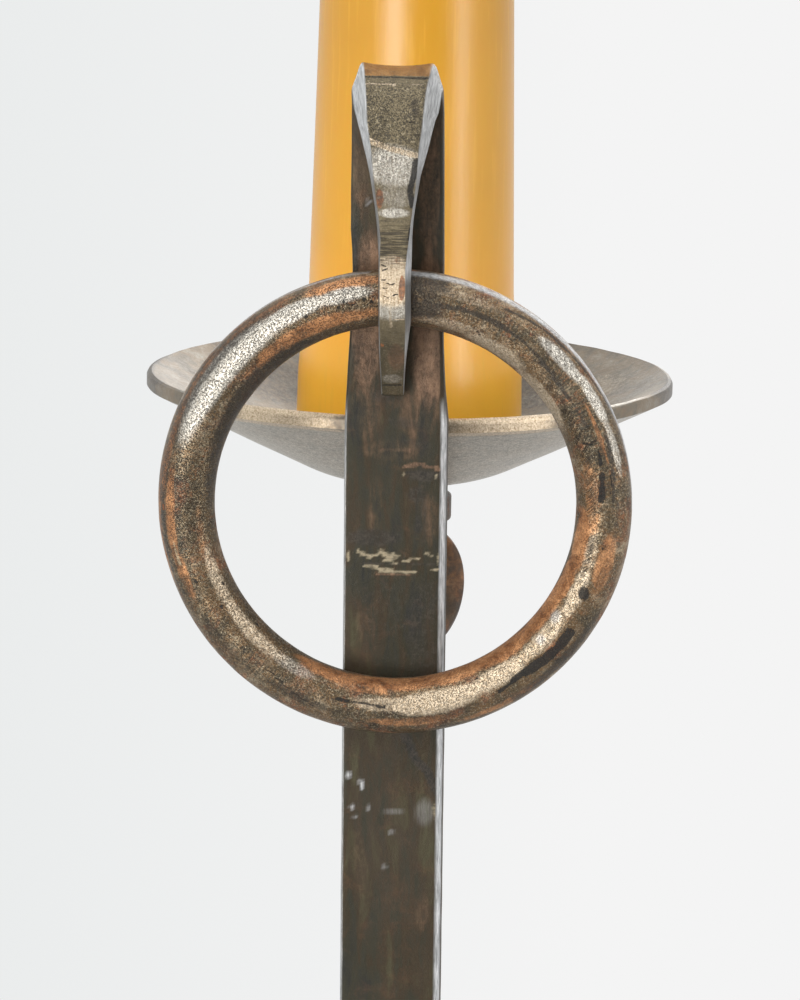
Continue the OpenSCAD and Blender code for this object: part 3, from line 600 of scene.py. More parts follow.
def hook_line():
    """Inner line of post and hook as (u, v, round of bend), u in front of the post's middle."""
    low = np.arange(POST_FOOT - PIVOT_Z, -214.0, 8.0)
    shaft = [(POST_T / 2, v, -1.0) for v in [*low, *np.arange(-214.0, BEND_V, 0.8)]]
    bend = [(*p, i / 72) for i, p in enumerate(arc((BEND_U, BEND_V), BEND_R, 180, 0, 72))]
    start = (PIVOT_OFF + SEAT_R * math.cos(math.radians(SEAT_FROM)), SEAT_R * math.sin(math.radians(SEAT_FROM)))
    pull = (9 * math.sin(math.radians(SEAT_FROM)), -9 * math.cos(math.radians(SEAT_FROM)))
    throat = [(BEND_U + BEND_R, BEND_V), (BEND_U + BEND_R, 30.0), (start[0] - pull[0], start[1] - pull[1]), start]
    run = [(*bezier(throat, i / 110), 1.0) for i in range(1, 111)]
    away = (PIVOT_OFF - TIP[0], TIP_DROP)
    tip_angle = math.degrees(math.atan2(away[0], away[1]) + math.asin(SEAT_R / math.hypot(*away)))
    seat = [(*p, 1.0) for p in arc((PIVOT_OFF, 0.0), SEAT_R, SEAT_FROM - 2, -tip_angle, 56)]
    last = seat[-1]
    tip = [(mix(last[0], TIP[0], i / 50), mix(last[1], TIP[1], i / 50), 1.0) for i in range(1, 51)]
    return shaft + bend + run + seat + tip


def hook_sizes(v, turn, past):
    """Edges of inner and outer face, depth, bevel and inner corners of the bar at one place."""
    to_tip = max(0.0, -v / TIP_DROP)
    if turn < 0:
        left, right = (lookup(v, [(row[0], row[k]) for row in SHAFT_EDGES]) for k in (1, 2))
        corner = lookup(v, [(-37.0, CORNER_RIGHT), (-24.0, 0.45)])
        return (left, right), (left + CORNER_BACK, right - CORNER_BACK), POST_T, CORNER_BACK, CORNER_LEFT, corner
    outer = tuple(lookup(past, [(row[0], row[k]) for row in HOOK_EDGES]) for k in (1, 2))
    inner = tuple(lookup(past, [(row[0], row[k]) for row in HOOK_EDGES]) for k in (3, 4))
    if turn < 1:
        depth = mix(POST_T, POST_T - 1, turn)
        return inner, outer, depth, mix(CORNER_BACK, depth - 1.4, smooth(2 * turn)), 0.4, 0.4
    if v > 0:
        depth = mix(POST_T - 1, BELLY_T, smooth(1.15 * (BEND_V - v) / BEND_V))
        return inner, outer, depth, depth - 1.4, 0.3, 0.3
    depth = mix(BELLY_T, TIP_T, to_tip)
    return inner, outer, depth, depth - 1.4, 0.2, 0.2


def bar_ring(inner, outer, depth, bevel, left, right, counts=EDGE_POINTS):
    """Dense outline of a flat bar, (x, d) points, with its corners rubbed round."""
    corners = [(inner[0] + left, 0), (inner[1] - right, 0), (inner[1], right), (inner[1], depth - bevel),
               (outer[1], depth), (outer[0], depth), (inner[0], depth - bevel), (inner[0], left)]
    made = []
    for k, n in enumerate(counts):
        a, b = corners[k], corners[(k + 1) % 8]
        made += [(mix(a[0], b[0], i / n), mix(a[1], b[1], i / n)) for i in range(n)]
    ring = np.array(made)
    for _ in range(2):
        ring = 0.25 * np.roll(ring, 1, 0) + 0.5 * ring + 0.25 * np.roll(ring, -1, 0)
    return ring


def edge_of(index, counts=EDGE_POINTS):
    """Which edge of the outline a point lies on."""
    return int(np.searchsorted(np.cumsum(counts), index, side="right"))


def crest_lift(x, d, depth, outer, past):
    """The top of the bend is hollow between two raised corners."""
    near = math.exp(-((past - CREST) / CREST_WIDE) ** 2) * smooth(d / depth * 2 - 1)
    middle, half = (outer[0] + outer[1]) / 2, (outer[1] - outer[0]) / 2
    across = min(1.0, abs(x - middle) / half)
    return near * (CREST_HORN - (CREST_HORN + CREST_HOLLOW) * (1 - across ** 2))


# Marks as (channel, height above the ring's pivot, x, half height, half width, turn, strength); lines as
# (channel, [(height, x), ...], half width, strength).
POST_WEAR = [
    (COPPER, 34, -11, 22, 3, 0, 0.4), (COPPER, 30, 9, 24, 4, 0, 0.6), (COPPER, -5, -9, 24, 6, 0, 0.85),
    (COPPER, -12, 9, 24, 5, 0, 0.95), (COPPER, -34, -9, 12, 5, 0, 0.42), (COPPER, -36, 6, 9, 8, 0, 0.4),
    (COPPER, -46, 0, 4, 12, 0, 0.42), (COPPER, -62, -6, 12, 3, 0, 0.35), (COPPER, -66, 10, 10, 3, 0, 0.38),
    (COPPER, -96, -8, 12, 4, 0, 0.32), (COPPER, -165, -9, 20, 3, 0, 0.3), (COPPER, -185, 9, 8, 3, 0, 0.35),
    (DARK, -30, -4, 3, 4, 0, 0.5), (DARK, -38, 2, 2, 6, 10, 0.5), (DARK, -44, 6, 1.6, 5, 8, 0.5),
    (DARK, -53.4, 8, 2.0, 6, 0, 0.7), (DARK, -59, 6, 2.6, 3.4, 0, 0.65), (DARK, -72, -6.5, 3.0, 9, 0, 0.7),
    (DARK, -100, 9, 20, 6, 0, 0.5), (DARK, -66, 8, 12, 1.4, 0, 0.5), (DARK, -120, 2, 16, 14, 0, 0.35), (DARK, -93, 0, 12, 16, 0, 0.35),
    (DARK, 12, -12, 22, 1.4, 0, 0.4), (DARK, 6, 11, 26, 1.6, 0, 0.35), (DARK, 20, 7, 3, 3, 30, 0.4),
]
POST_LINES = [
    (COPPER, [(-50.6, 2.4), (-50.2, 7.0), (-51.4, 12.6)], 0.5, 1.1), (COPPER, [(-46.2, -4.0), (-46.0, 4.0)], 0.6, 0.7),
    (DARK, [(-52.4, 3.0), (-52.8, 8.0), (-53.6, 13.0)], 0.7, 0.9), (DARK, [(-57, 6.0), (-70, 6.4)], 0.7, 0.7),
    (DARK, [(-131, 3.4), (-138, 6.4), (-142.2, 10.3), (-148, 12.9)], 1.3, 1.1), (DARK, [(-79.6, -11), (-79.4, 12)], 0.5, 0.6),
    (COPPER, [(-82.8, -5.0), (-83.2, 6.0)], 0.4, 0.7),
]
POST_MARKS = [
    (FLECK, -77.6, -13.9, 2.0, 0.5, 0, 0.8), (FLECK, -53.1, 2.1, 0.8, 0.7, 0, 0.7), (FLECK, -53.4, 11.7, 0.8, 0.7, 0, 0.7),
    (FLECK, -78.0, 12.8, 2.2, 0.7, 0, 0.7), (FLECK, -81.2, 12.0, 0.7, 1.9, 0, 0.8),
    (POLISH_AND_REFLECTION, -143.6, -13.2, 1.2, 0.6, 0, 0.85), (POLISH_AND_REFLECTION, -146.3, -9.3, 1.7, 0.6, -12, 0.85),
    (POLISH_AND_REFLECTION, -153.3, -12.0, 0.8, 0.7, 0, 0.65), (POLISH_AND_REFLECTION, -153.5, -7.2, 1.0, 0.7, 0, 0.3), (POLISH_AND_REFLECTION, -156.3, -11.1, 0.6, 0.7, 0, 0.3),
    (POLISH_AND_REFLECTION, -160.7, -0.4, 0.8, 0.8, 0, 0.32), (POLISH_AND_REFLECTION, -171.5, -2.3, 0.8, 0.8, 0, 0.25),
    (POLISH_AND_REFLECTION, -154.4, 9.4, 4.0, 2.6, 0, 0.16), (POLISH_AND_REFLECTION, -154.4, 0.4, 0.8, 3.0, 0, 0.16), (FLECK, -154.0, 12.2, 3.0, 0.8, 0, 0.5),
    (POLISH_AND_REFLECTION, 26.2, -8.7, 0.4, 0.8, 40, 0.3), (POLISH_AND_REFLECTION, 25.4, -8.9, 0.8, 0.25, 10, 0.3),
]
POST_STROKES = [
    (FLECK, [(-76.1, -11.0), (-77.0, -9.2), (-77.6, -7.2)], 0.7, 0.8), (FLECK, [(-77.4, -6.6), (-77.2, -5.2)], 0.5, 0.75),
    (FLECK, [(-75.9, -4.4), (-77.0, -3.0), (-78.4, -1.4)], 0.9, 0.8), (FLECK, [(-76.9, -1.0), (-77.4, 0.6)], 0.7, 0.8),
    (FLECK, [(-78.9, -3.6), (-79.4, 0.2)], 0.4, 0.7), (FLECK, [(-78.9, 2.4), (-78.4, 4.2)], 0.5, 0.75),
    (FLECK, [(-77.6, 4.4), (-77.9, 6.6)], 0.4, 0.75), (FLECK, [(-76.4, 8.4), (-77.0, 10.6)], 0.45, 0.75),
    (FLECK, [(-80.4, -9.0), (-80.7, -5.5)], 0.6, 0.8), (FLECK, [(-81.6, -4.2), (-81.9, -0.8)], 0.8, 0.85),
    (FLECK, [(-82.1, 0.4), (-82.2, 2.2)], 0.5, 0.7), (FLECK, [(-82.3, 3.0), (-82.1, 6.2)], 0.5, 0.75),
]
# On the hook's outer face the bare bands from about 26 to 45 mm above the pivot and the pale band from about 0 to 13 mm
# are painted highlights, the thin bare band at 25 mm a painted glint, the bare patch just under the pivot a painted
# reflection, and the dark spots at 23 mm and at -9.5 mm painted shade; the copper spot is rust.
HOOK_WEAR_AND_LIGHT = [
    (DARK, 55, 4.9, 4.0, 1.4, 0, 0.6), (BARE_AND_HIGHLIGHT, 38.5, -1, 6.6, 9, 8, 0.7), (BARE_AND_HIGHLIGHT, 30, -0.5, 4.0, 7, 0, 0.4),
    (BARE_AND_HIGHLIGHT, 25.3, -0.9, 1.5, 4.6, 0, 0.85), (DARK, 23.2, -0.6, 1.0, 5.5, 0, 0.4), (PALE, 6.2, -1.2, 6.8, 7, 0, 1.2),
    (BARE_AND_HIGHLIGHT, -1.6, -1, 3.4, 6, 0, 0.6), (COPPER, -16.5, 0.2, 5.0, 3.0, 0, 0.6), (DARK, -9.5, 0.8, 3.4, 2.4, 0, 0.3),
    (BARE_AND_HIGHLIGHT, -23.8, -1.2, 1.8, 3.4, 0, 0.42),
]
HOOK_MARKS = [
    (RUST, 29.5, -5.0, 3.2, 1.5, 0, 0.72), (RUST, 12.0, 0.4, 1.4, 1.1, 0, 0.5), (RUST, 4.6, 1.75, 3.5, 0.95, 0, 1.0),
    (CUT, 19.4, 3.7, 1.9, 0.45, 0, 0.95), (RUST, -12.5, -3.9, 1.3, 0.7, 0, 0.5),
    (FLECK, -13.5, 1.9, 0.35, 0.3, 0, 0.7), (FLECK, -19, 0.2, 0.3, 0.6, 0, 0.5),
]
HOOK_STROKES = [
    (CUT, [(63.0, -9.6), (62.8, 8.4)], 0.34, 0.6), (FLECK, [(61.3, -9.2), (61.0, -1.0)], 0.3, 0.72),
    (FLECK, [(61.0, 1.0), (61.2, 6.9)], 0.22, 0.5), (CUT, [(51.3, 0.8), (51.2, 4.9)], 0.28, 0.55),
    (FLECK, [(45.9, -8.0), (43.6, -2.0), (41.6, 5.8)], 0.9, 0.75),
    (CUT, [(40.2, 5.2), (36.0, 4.6), (31.6, 3.6), (27.5, 4.4)], 0.85, 0.9), (CUT, [(21.2, 3.9), (17.8, 3.4)], 0.3, 0.9),
    (CUT, [(10.7, -4.2), (10.3, -3.0)], 0.16, 0.85), (CUT, [(9.2, -3.9), (9.7, -2.4)], 0.2, 0.8),
    (CUT, [(6.7, -3.9), (6.9, -2.9)], 0.17, 0.85), (CUT, [(5.9, -2.6), (5.5, -1.4), (5.8, -0.3)], 0.2, 0.8),
    (CUT, [(4.6, -3.5), (4.7, -2.1)], 0.14, 0.7), (CUT, [(2.7, -0.8), (2.9, 0.7)], 0.18, 0.8),
    (CUT, [(2.4, -3.3), (1.8, -1.9)], 0.15, 0.7), (PALE, [(0.0, -1.6), (-4.0, -1.4), (-6.5, -1.2)], 0.5, 0.5), (FLECK, [(-4.3, -0.2), (-4.2, 2.5)], 0.16, 0.8),
    (CUT, [(-26.0, -3.9), (-25.8, 1.3)], 0.26, 0.8), (CUT, [(-25.4, -2.8), (-25.3, 0.2)], 0.14, 0.6),
]


# How bright the hook's bevels are painted, by height: metal bright from the file, with the brightness following the
# light the bevels reflect, a painted reflection.
LEFT_BEVEL = [(-28, 0.35), (-12, 0.35), (2, 0.3), (20, 0.3), (32, 0.35), (40, 0.75), (46, 1.0), (70, 1.0)]
RIGHT_BEVEL = [(-26, 0.9), (-12, 0.9), (-8, 0.4), (5, 0.3), (9, 0.9), (26, 0.75), (32, 0.4), (40, 0.7), (70, 0.76)]


def paint_faces(obj, v, x, edge, on_hook):
    """Rubbed places, marks and zones of the post's front and of the hook's outer face and bevels, with the hook's
    painted highlights, painted shade and painted reflections.
    """
    count = len(x)
    wear_and_painted_light, marks, zone = np.zeros((count, 4)), np.zeros((count, 4)), np.zeros((count, 4))
    shaft, face = (edge == 0) & ~on_hook, (edge == 4) & on_hook
    wear_and_painted_light[shaft] = paint(v[shaft], x[shaft], POST_WEAR, POST_LINES)
    marks[shaft] = paint(v[shaft], x[shaft], POST_MARKS, POST_STROKES)
    pale_lines = [s for s in HOOK_STROKES if s[0] == PALE]
    other_lines = [s for s in HOOK_STROKES if s[0] != PALE]
    wear_and_painted_light[face] = paint(v[face], x[face], HOOK_WEAR_AND_LIGHT, pale_lines)
    marks[face] = paint(v[face], x[face], HOOK_MARKS, other_lines)
    # The bevels' brightness includes painted reflection.
    for side, table in ((5, LEFT_BEVEL), (3, RIGHT_BEVEL)):
        strip = on_hook & (edge == side)
        marks[strip, POLISH_AND_REFLECTION] = np.interp(v[strip], *zip(*table))
    low = np.clip((-30 - v) / 8, 0, 1) * ~on_hook
    marks[:, POLISH_AND_REFLECTION] = np.maximum(marks[:, POLISH_AND_REFLECTION], np.where(edge == 1, 0.9, np.where(edge == 7, 0.65, 0)) * low)
    zone[face, OLIVE] = np.where(v[face] > -12, 0.95, 0.55)
    zone[face, PITTED] = np.interp(v[face], (-28, -8, 0, 12, 24, 40, 48, 60, 64), (0.35, 0.3, 0.1, 0.15, 0.3, 0.5, 0.9, 0.9, 0.2))
    zone[face, HATCHED] = np.interp(v[face], (9, 12, 21, 24), (0, 1, 1, 0))
    # The top of the bend is painted amber: a painted reflection of the sleeve behind it.
    top = on_hook & np.isin(edge, (4,)) & (v > 62.5)
    zone[top, AMBER_REFLECTION] = np.clip((v[top] - 62.9) / 0.8, 0, 1)
    put_paint(obj, wear_and_painted_light, marks, zone)


def make_post(material):
    line = hook_line()
    flat = [(p[0], p[1]) for p in line]
    out, run = normals(flat), run_lengths(flat)
    bend_end = run[max(i for i, p in enumerate(line) if 0 <= p[2] < 1) + 1]
    cols = sum(EDGE_POINTS)
    edges = np.array([edge_of(j) for j in range(cols)])
    points, grain = [], []
    for (u, v, turn), n, s in zip(line, out, run):
        sizes = hook_sizes(v, turn, s - bend_end)
        for x, d in bar_ring(*sizes):
            beat = 0.12 * wobble((x, s, d), 17) + 0.05 * wobble((x, s, d), 5, 3.0)
            push = beat * (1 if d > 0.5 * POST_T else -1)
            side = 0.1 * wobble((0, s, d), 11, 8.0) * math.copysign(1, x) * min(1, abs(x) / 6)
            deep = d + push * 0.6
            if turn >= 0:
                deep += crest_lift(x, d, sizes[2], sizes[1], s - bend_end)
            points.append((x + side, POST_Y - u + n[0] * deep, PIVOT_Z + v - n[1] * deep))
            grain.append((x, s, d))
    rows = len(line)
    faces = grid_faces(rows, cols)
    faces.append(tuple(range(cols))[::-1])
    faces.append(tuple((rows - 1) * cols + j for j in range(cols)))
    obj = face_out(build("post_skin", points, faces, material))
    put_vectors(obj, "grain", grain)
    placed = np.array(points)
    on_hook = np.repeat(np.array([p[2] >= 0.3 for p in line]), cols)
    paint_faces(obj, placed[:, 2] - PIVOT_Z, placed[:, 0], np.tile(edges, rows), on_hook)
    return dress(obj, "frame", "forged_iron", "post")


# ---------------------------------------------------------------- hand ring
# Places on the ring: degrees round it from the right, and degrees round its bar from the outside
# over the front; sizes in millimetres.
# Bare and pale places are rubbed metal and also painted highlights on the bar's front; the pale places on the inner
# side at the upper right are painted reflections; the dark places on the inner side at the left and beside the hook are
# painted shade; the copper places are rust.
RING_WEAR_AND_LIGHT = [
    (BARE_AND_HIGHLIGHT, 141, 66, 24, 4.2, 0, 1.1), (BARE_AND_HIGHLIGHT, 119, 65, 12, 2.8, 0, 1.0), (BARE_AND_HIGHLIGHT, 104, 66, 9, 2.4, 0, 0.75), (BARE_AND_HIGHLIGHT, 170, 74, 16, 2.4, 0, 0.2),
    (PALE, 204, 127, 14, 2.4, 0, 0.6), (PALE, 222, 127, 16, 2.6, 0, 0.65), (BARE_AND_HIGHLIGHT, 238, 126, 10, 2.4, 0, 0.45),
    (BARE_AND_HIGHLIGHT, 43, 56, 9, 2.2, 0, 0.85), (BARE_AND_HIGHLIGHT, 30, 50, 9, 2.0, 0, 0.8), (BARE_AND_HIGHLIGHT, 17, 50, 9, 1.6, 0, 0.6),
    (PALE, 268, 105, 12, 2.4, 0, 0.6), (PALE, 283, 103, 15, 3.6, 0, 1.1), (PALE, 302, 108, 12, 3.2, 0, 0.8),
    (PALE, 320, 111, 12, 3.0, 0, 0.62), (PALE, 336, 107, 10, 2.6, 0, 0.7), (PALE, 348, 108, 8, 2.2, 0, 0.5),
    (PALE, 72, 124, 16, 2.4, 0, 0.5), (PALE, 58, 136, 12, 3.2, 0, 0.8), (PALE, 38, 148, 14, 3.4, 0, 0.75), (PALE, 74, 58, 14, 1.8, 0, 0.45),
    (COPPER, 309, 156, 18, 4.0, 0, 1.0), (COPPER, 324, 156, 14, 4.0, 0, 1.0), (COPPER, 337, 147, 10, 3.4, 0, 1.0),
    (COPPER, 350, 138, 12, 3.4, 0, 0.9), (COPPER, 290, 162, 18, 4.0, 0, 1.0), (COPPER, 270, 158, 20, 3.4, 0, 1.0),
    (COPPER, 250, 154, 14, 3.2, 0, 0.8), (COPPER, 362, 116, 16, 3.0, 0, 0.45), (COPPER, 346, 74, 10, 3.0, 0, 0.6),
    (COPPER, 140, 32, 34, 1.2, 0, 0.6), (DARK, 158, 32, 54, 3.0, 0, 0.65), (DARK, 148, 38, 34, 2.6, 0, 0.75), (DARK, 214, 52, 20, 3.0, 0, 0.4),
    (DARK, 186, 58, 20, 4.0, 0, 0.35), (COPPER, 165, 38, 16, 1.5, 0, 0.75), (COPPER, 103, 42, 12, 2.4, 0, 0.7),
    (COPPER, 116, 112, 26, 2.6, 0, 0.75), (COPPER, 185, 58, 20, 1.8, 0, 0.7), (COPPER, 199, 66, 8, 1.6, 0, 0.6),
    (COPPER, 183, 22, 20, 1.3, 0, 0.7), (COPPER, 276, 66, 16, 1.8, 0, 0.55), (COPPER, 300, 44, 16, 1.6, 0, 0.5),
    (COPPER, 262, 140, 12, 2.6, 0, 0.6), (COPPER, 382, 74, 12, 0.6, 0, 0.7), (COPPER, 190, 120, 14, 1.6, 0, 0.4),
    (DARK, 140, 142, 34, 4.0, 0, 0.85), (DARK, 165, 150, 20, 3.4, 0, 0.6), (DARK, 84, 102, 9, 3.4, 0, 0.85),
    (DARK, 84, 46, 9, 4.0, 0, 0.8), (DARK, 85, 78, 7, 5.0, 0, 0.8), (DARK, 284, 72, 16, 1.8, 0, 0.5), (DARK, 316, 44, 20, 2.2, 0, 0.7),
    (DARK, 244, 72, 14, 1.8, 0, 0.6), (DARK, 222, 66, 14, 1.4, 0, 0.5), (DARK, 328, 66, 6, 1.6, 0, 0.4),
]
RING_LINES = [
    (DARK, [(86, 92), (78, 89), (73, 84), (66, 82), (59, 82)], 0.8, 0.85), (DARK, [(61, 81), (53, 84), (48, 89)], 0.5, 0.8),
    (DARK, [(50, 86), (46, 91), (40, 95), (34, 96)], 0.75, 0.85), (DARK, [(36, 96), (30, 94), (24, 91)], 0.45, 0.7),
    (DARK, [(57, 92), (48, 99), (42, 103)], 0.3, 0.6), (DARK, [(44, 83), (36, 88), (28, 84)], 0.3, 0.6),
    (DARK, [(62, 46), (52, 34), (41, 30), (31, 24), (22, 12)], 0.5, 0.9), (DARK, [(22, 60), (14, 63), (3, 72)], 0.6, 0.8), (DARK, [(17, 66), (9, 70), (-2, 76)], 0.35, 0.7),
    (DARK, [(24, 74), (12, 78)], 0.5, 0.6), (DARK, [(362, 62), (350, 66)], 0.8, 0.5),
]
RING_MARKS = [
    (CUT, 336.5, 93, 2.2, 1.7, 20, 0.85),
    (CUT, 105.6, 88.5, 0.6, 0.5, 0, 0.9), (CUT, 104, 79, 0.5, 0.5, 0, 0.9), (CUT, 101.9, 88, 0.6, 0.4, 0, 0.8),
    (CUT, 98.6, 82.3, 0.7, 0.5, 0, 0.9), (CUT, 96.6, 88.9, 0.7, 0.5, 0, 0.9), (CUT, 114.7, 84.3, 0.7, 0.5, 0, 0.9),
    (CUT, 201.5, 84, 0.8, 0.5, 0, 0.8), (CUT, 222.2, 151, 0.8, 0.5, 0, 0.8), (CUT, 205.4, 136, 0.8, 0.5, 0, 0.8),
    (CUT, 211, 108, 0.7, 0.6, 0, 0.9), (POLISH_AND_REFLECTION, 326.5, 120, 2.1, 1.6, 10, 0.45), (POLISH_AND_REFLECTION, 318.5, 113, 1.6, 1.4, 0, 0.5),
    (RUST, 181, 40, 1.0, 0.7, 0, 0.9), (RUST, 193.8, 22, 0.9, 0.6, 0, 0.8), (RUST, 179, 68, 0.8, 0.4, 0, 0.8),
    (RUST, 58, 92, 1.2, 0.9, 20, 0.7), (RUST, 171.2, 54, 0.9, 0.5, 0, 0.8), (RUST, 53, 62, 0.8, 0.5, 0, 0.8),
    (CUT, 344, 96, 0.6, 0.4, 0, 0.8), (CUT, 350, 84, 0.6, 0.5, 0, 0.8), (CUT, 296, 124, 0.7, 0.4, 0, 0.7),
]
# The two polish lines along the bar's outer side, at the upper right and at the upper left, are painted reflections of
# the white surroundings.
RING_STROKES = [
    (POLISH_AND_REFLECTION, [(88, 20), (76, 20), (66, 19), (54, 15), (44, 12), (32, 9), (18, 5), (0, 2)], 1.3, 0.8),
    (POLISH_AND_REFLECTION, [(97, 14), (118, 8), (140, 3)], 0.6, 0.5), (FLECK, [(196, 62), (190, 60)], 0.5, 0.8),
    (CUT, [(325, 76), (321, 75)], 1.5, 1.1), (CUT, [(321, 77), (316, 83), (310, 86), (305, 84)], 0.85, 1.1),
    (CUT, [(321, 71), (314, 74), (309, 80)], 0.8, 1.0), (CUT, [(306, 83), (300, 79)], 0.45, 1.0), (CUT, [(17, 86), (13, 88.5)], 0.45, 0.8), (CUT, [(10.5, 90), (7, 93)], 0.8, 0.9),
    (CUT, [(7, 93), (3.5, 96.5)], 0.95, 1.0), (CUT, [(10, 73), (5, 76)], 0.3, 0.7), (CUT, [(20.5, 113), (19.5, 98), (20.2, 86)], 0.3, 0.9),
    (CUT, [(66.5, 113), (64.5, 122)], 0.25, 0.9), (CUT, [(233.4, 92), (242.6, 78), (249, 68)], 0.3, 0.6),
    (CUT, [(254, 100), (262, 104), (268, 100)], 0.5, 0.7),
]


def ring_stroke(spec):
    channel, line, width, strength = spec
    return channel, [ring_spot(t, f) for t, f in line], width, strength


def ring_spot(theta, phi):
    """Millimetres along and round the bar from the two angles."""
    return theta * RING_R * math.pi / 180, phi * RING_BAR_R * math.pi / 180


def ring_blob(spec):
    channel, theta, phi, length, width, turn, strength = spec
    along, across = ring_spot(theta, phi)
    return channel, along, across, length, width, turn, strength


# Dull streaked places, in the same columns as the ring's table of rubbed places above.
RING_DULL = [
    (OLIVE, 62, 76, 20, 3.4, 0, 0.8), (OLIVE, 30, 82, 20, 4.2, 0, 1.0), (OLIVE, 8, 78, 14, 3.6, 0, 0.9),
    (OLIVE, 190, 56, 34, 4.6, 0, 0.9), (OLIVE, 236, 78, 20, 4.0, 0, 0.8), (OLIVE, 318, 46, 20, 2.6, 0, 0.7),
    (OLIVE, 168, 100, 20, 3.4, 0, 0.6), (OLIVE, 140, 120, 26, 3.0, 0, 0.5), (OLIVE, 40, 60, 14, 2.4, 0, 0.5),
    (OLIVE, 270, 72, 16, 3.0, 0, 0.6), (OLIVE, 345, 50, 12, 2.6, 0, 0.6), (OLIVE, 140, 28, 26, 2.0, 0, 0.4),
]
# How densely the ring is pitted, by degrees round it.
RING_PITS = [(0, 0.35), (60, 0.5), (85, 0.75), (120, 0.75), (170, 0.8), (190, 0.6), (240, 0.6), (300, 0.42), (345, 0.42), (360, 0.35)]


def bar_radius(theta):
    """The ring's bar is a little thicker at the upper left and the lower right."""
    upper = math.exp(-((theta - 145) / 38) ** 2)
    lower = math.exp(-((theta - 318) / 30) ** 2)
    return RING_BAR_R + 0.02 + 0.28 * upper + 0.14 * lower


def make_ring(material):
    rows, cols = 720, 84
    points, grain = [], []
    for i in range(rows):
        t = 2 * math.pi * i / rows
        for j in range(cols):
            f = 2 * math.pi * j / cols
            c = (RING_R * math.cos(t), RING_R * math.sin(t))
            p = (c[0] + RING_BAR_R * math.cos(f) * math.cos(t), RING_BAR_R * math.sin(f), c[1] + RING_BAR_R * math.cos(f) * math.sin(t))
            r = bar_radius(math.degrees(t)) + 0.08 * wobble(p, 14) + 0.03 * wobble(p, 3.5, 5.0)
            q = RING_R + 0.1 * math.cos(2 * t) + r * math.cos(f)
            points.append((q * math.cos(t), RING_Y - r * math.sin(f), RING_Z + q * math.sin(t)))
            along = (t - math.pi / 2) % (2 * math.pi) * RING_R
            grain.append((RING_BAR_R * math.cos(f), along, RING_BAR_R * math.sin(f)))
    obj = face_out(build("ring_skin", points, grid_faces(rows, cols, round_rows=True), material))
    theta = np.repeat(np.arange(rows) * 360.0 / rows, cols)
    phi = np.tile(np.arange(cols) * 360.0 / cols, rows)
    along, across = theta * RING_R * math.pi / 180, phi * RING_BAR_R * math.pi / 180
    put_vectors(obj, "grain", grain)
    wear_and_painted_light, marks = np.zeros((len(theta), 4)), np.zeros((len(theta), 4))
    for lap in (0, 2 * math.pi * RING_R):
        here = along + lap
        wear_and_painted_light = np.maximum(wear_and_painted_light, paint(here, across, [ring_blob(b) for b in RING_WEAR_AND_LIGHT], [ring_stroke(x) for x in RING_LINES]))
        marks = np.maximum(marks, paint(here, across, [ring_blob(b) for b in RING_MARKS], [ring_stroke(x) for x in RING_STROKES]))
    zone = np.zeros((len(theta), 4))
    for lap in (0, 2 * math.pi * RING_R):
        dull = paint(along + lap, across, [ring_blob(b) for b in RING_DULL])
        zone[:, OLIVE] = np.maximum(zone[:, OLIVE], dull[:, OLIVE])
    zone[:, PITTED] = np.interp(theta, *zip(*RING_PITS)) * np.clip((phi - 22) / 14, 0.15, 1)
    hatched = [(HATCHED, 38, 112, 6, 2.0, 0, 0.7), (HATCHED, 22, 115, 14, 2.0, 0, 1.0), (HATCHED, 2, 122, 8, 1.8, 0, 0.8),
               (HATCHED, 346, 110, 8, 1.0, 0, 0.9), (HATCHED, 44, 56, 9, 2.4, 0, 0.5)]
    for lap in (0, 2 * math.pi * RING_R):
        zone[:, HATCHED] = np.maximum(zone[:, HATCHED], paint(along + lap, across, [ring_blob(b) for b in hatched])[:, HATCHED])
    put_paint(obj, wear_and_painted_light, marks, zone)
    return dress(obj, "ring", "worn_iron", "hand_ring")


# ---------------------------------------------------------------- arm, pad and rivets
ARM_IN, ARM_FRONT, CURVE_DROP, CURVE_R = 11.0, 117.8, 34.0, 53.4
STRAP_W, STRAP_T, STRAP_TOP, CURVE_T = 24.0, 6.0, 14.0, 7.0
NECK_W, NECK_T, LEAF_W, LEAF_T, LEAF_MID, LEAF_LONG = 14.1, 5.0, 36.8, 4.5, -51.5, 17.5
PAD_R, PAD_T = 14.1, 8.2
ARM_COUNTS = (24, 2, 5, 2, 24, 2, 5, 2)


def arm_sizes(h, rising, gone, first):
    """Width and depth of the arm at one place."""
    if not rising:
        w = STRAP_W * mix(0.7, 1.0, math.sqrt(min(1.0, first / 4.0)))
        return w, mix(STRAP_T, CURVE_T, smooth(gone * 2.2))
    bulge = math.sqrt(max(0.0, 1 - ((h - LEAF_MID) / LEAF_LONG) ** 2))
    bar = mix(0.9 * STRAP_W, NECK_W, smooth((h - LEAF_MID) / LEAF_LONG * 1.1))
    low = -CURVE_DROP - CURVE_R
    depth = mix(CURVE_T, NECK_T, smooth((h - low) / (LEAF_MID + LEAF_LONG - low)))
    return max(bar, mix(0.55 * bar, LEAF_W, bulge)), mix(depth, LEAF_T, bulge)


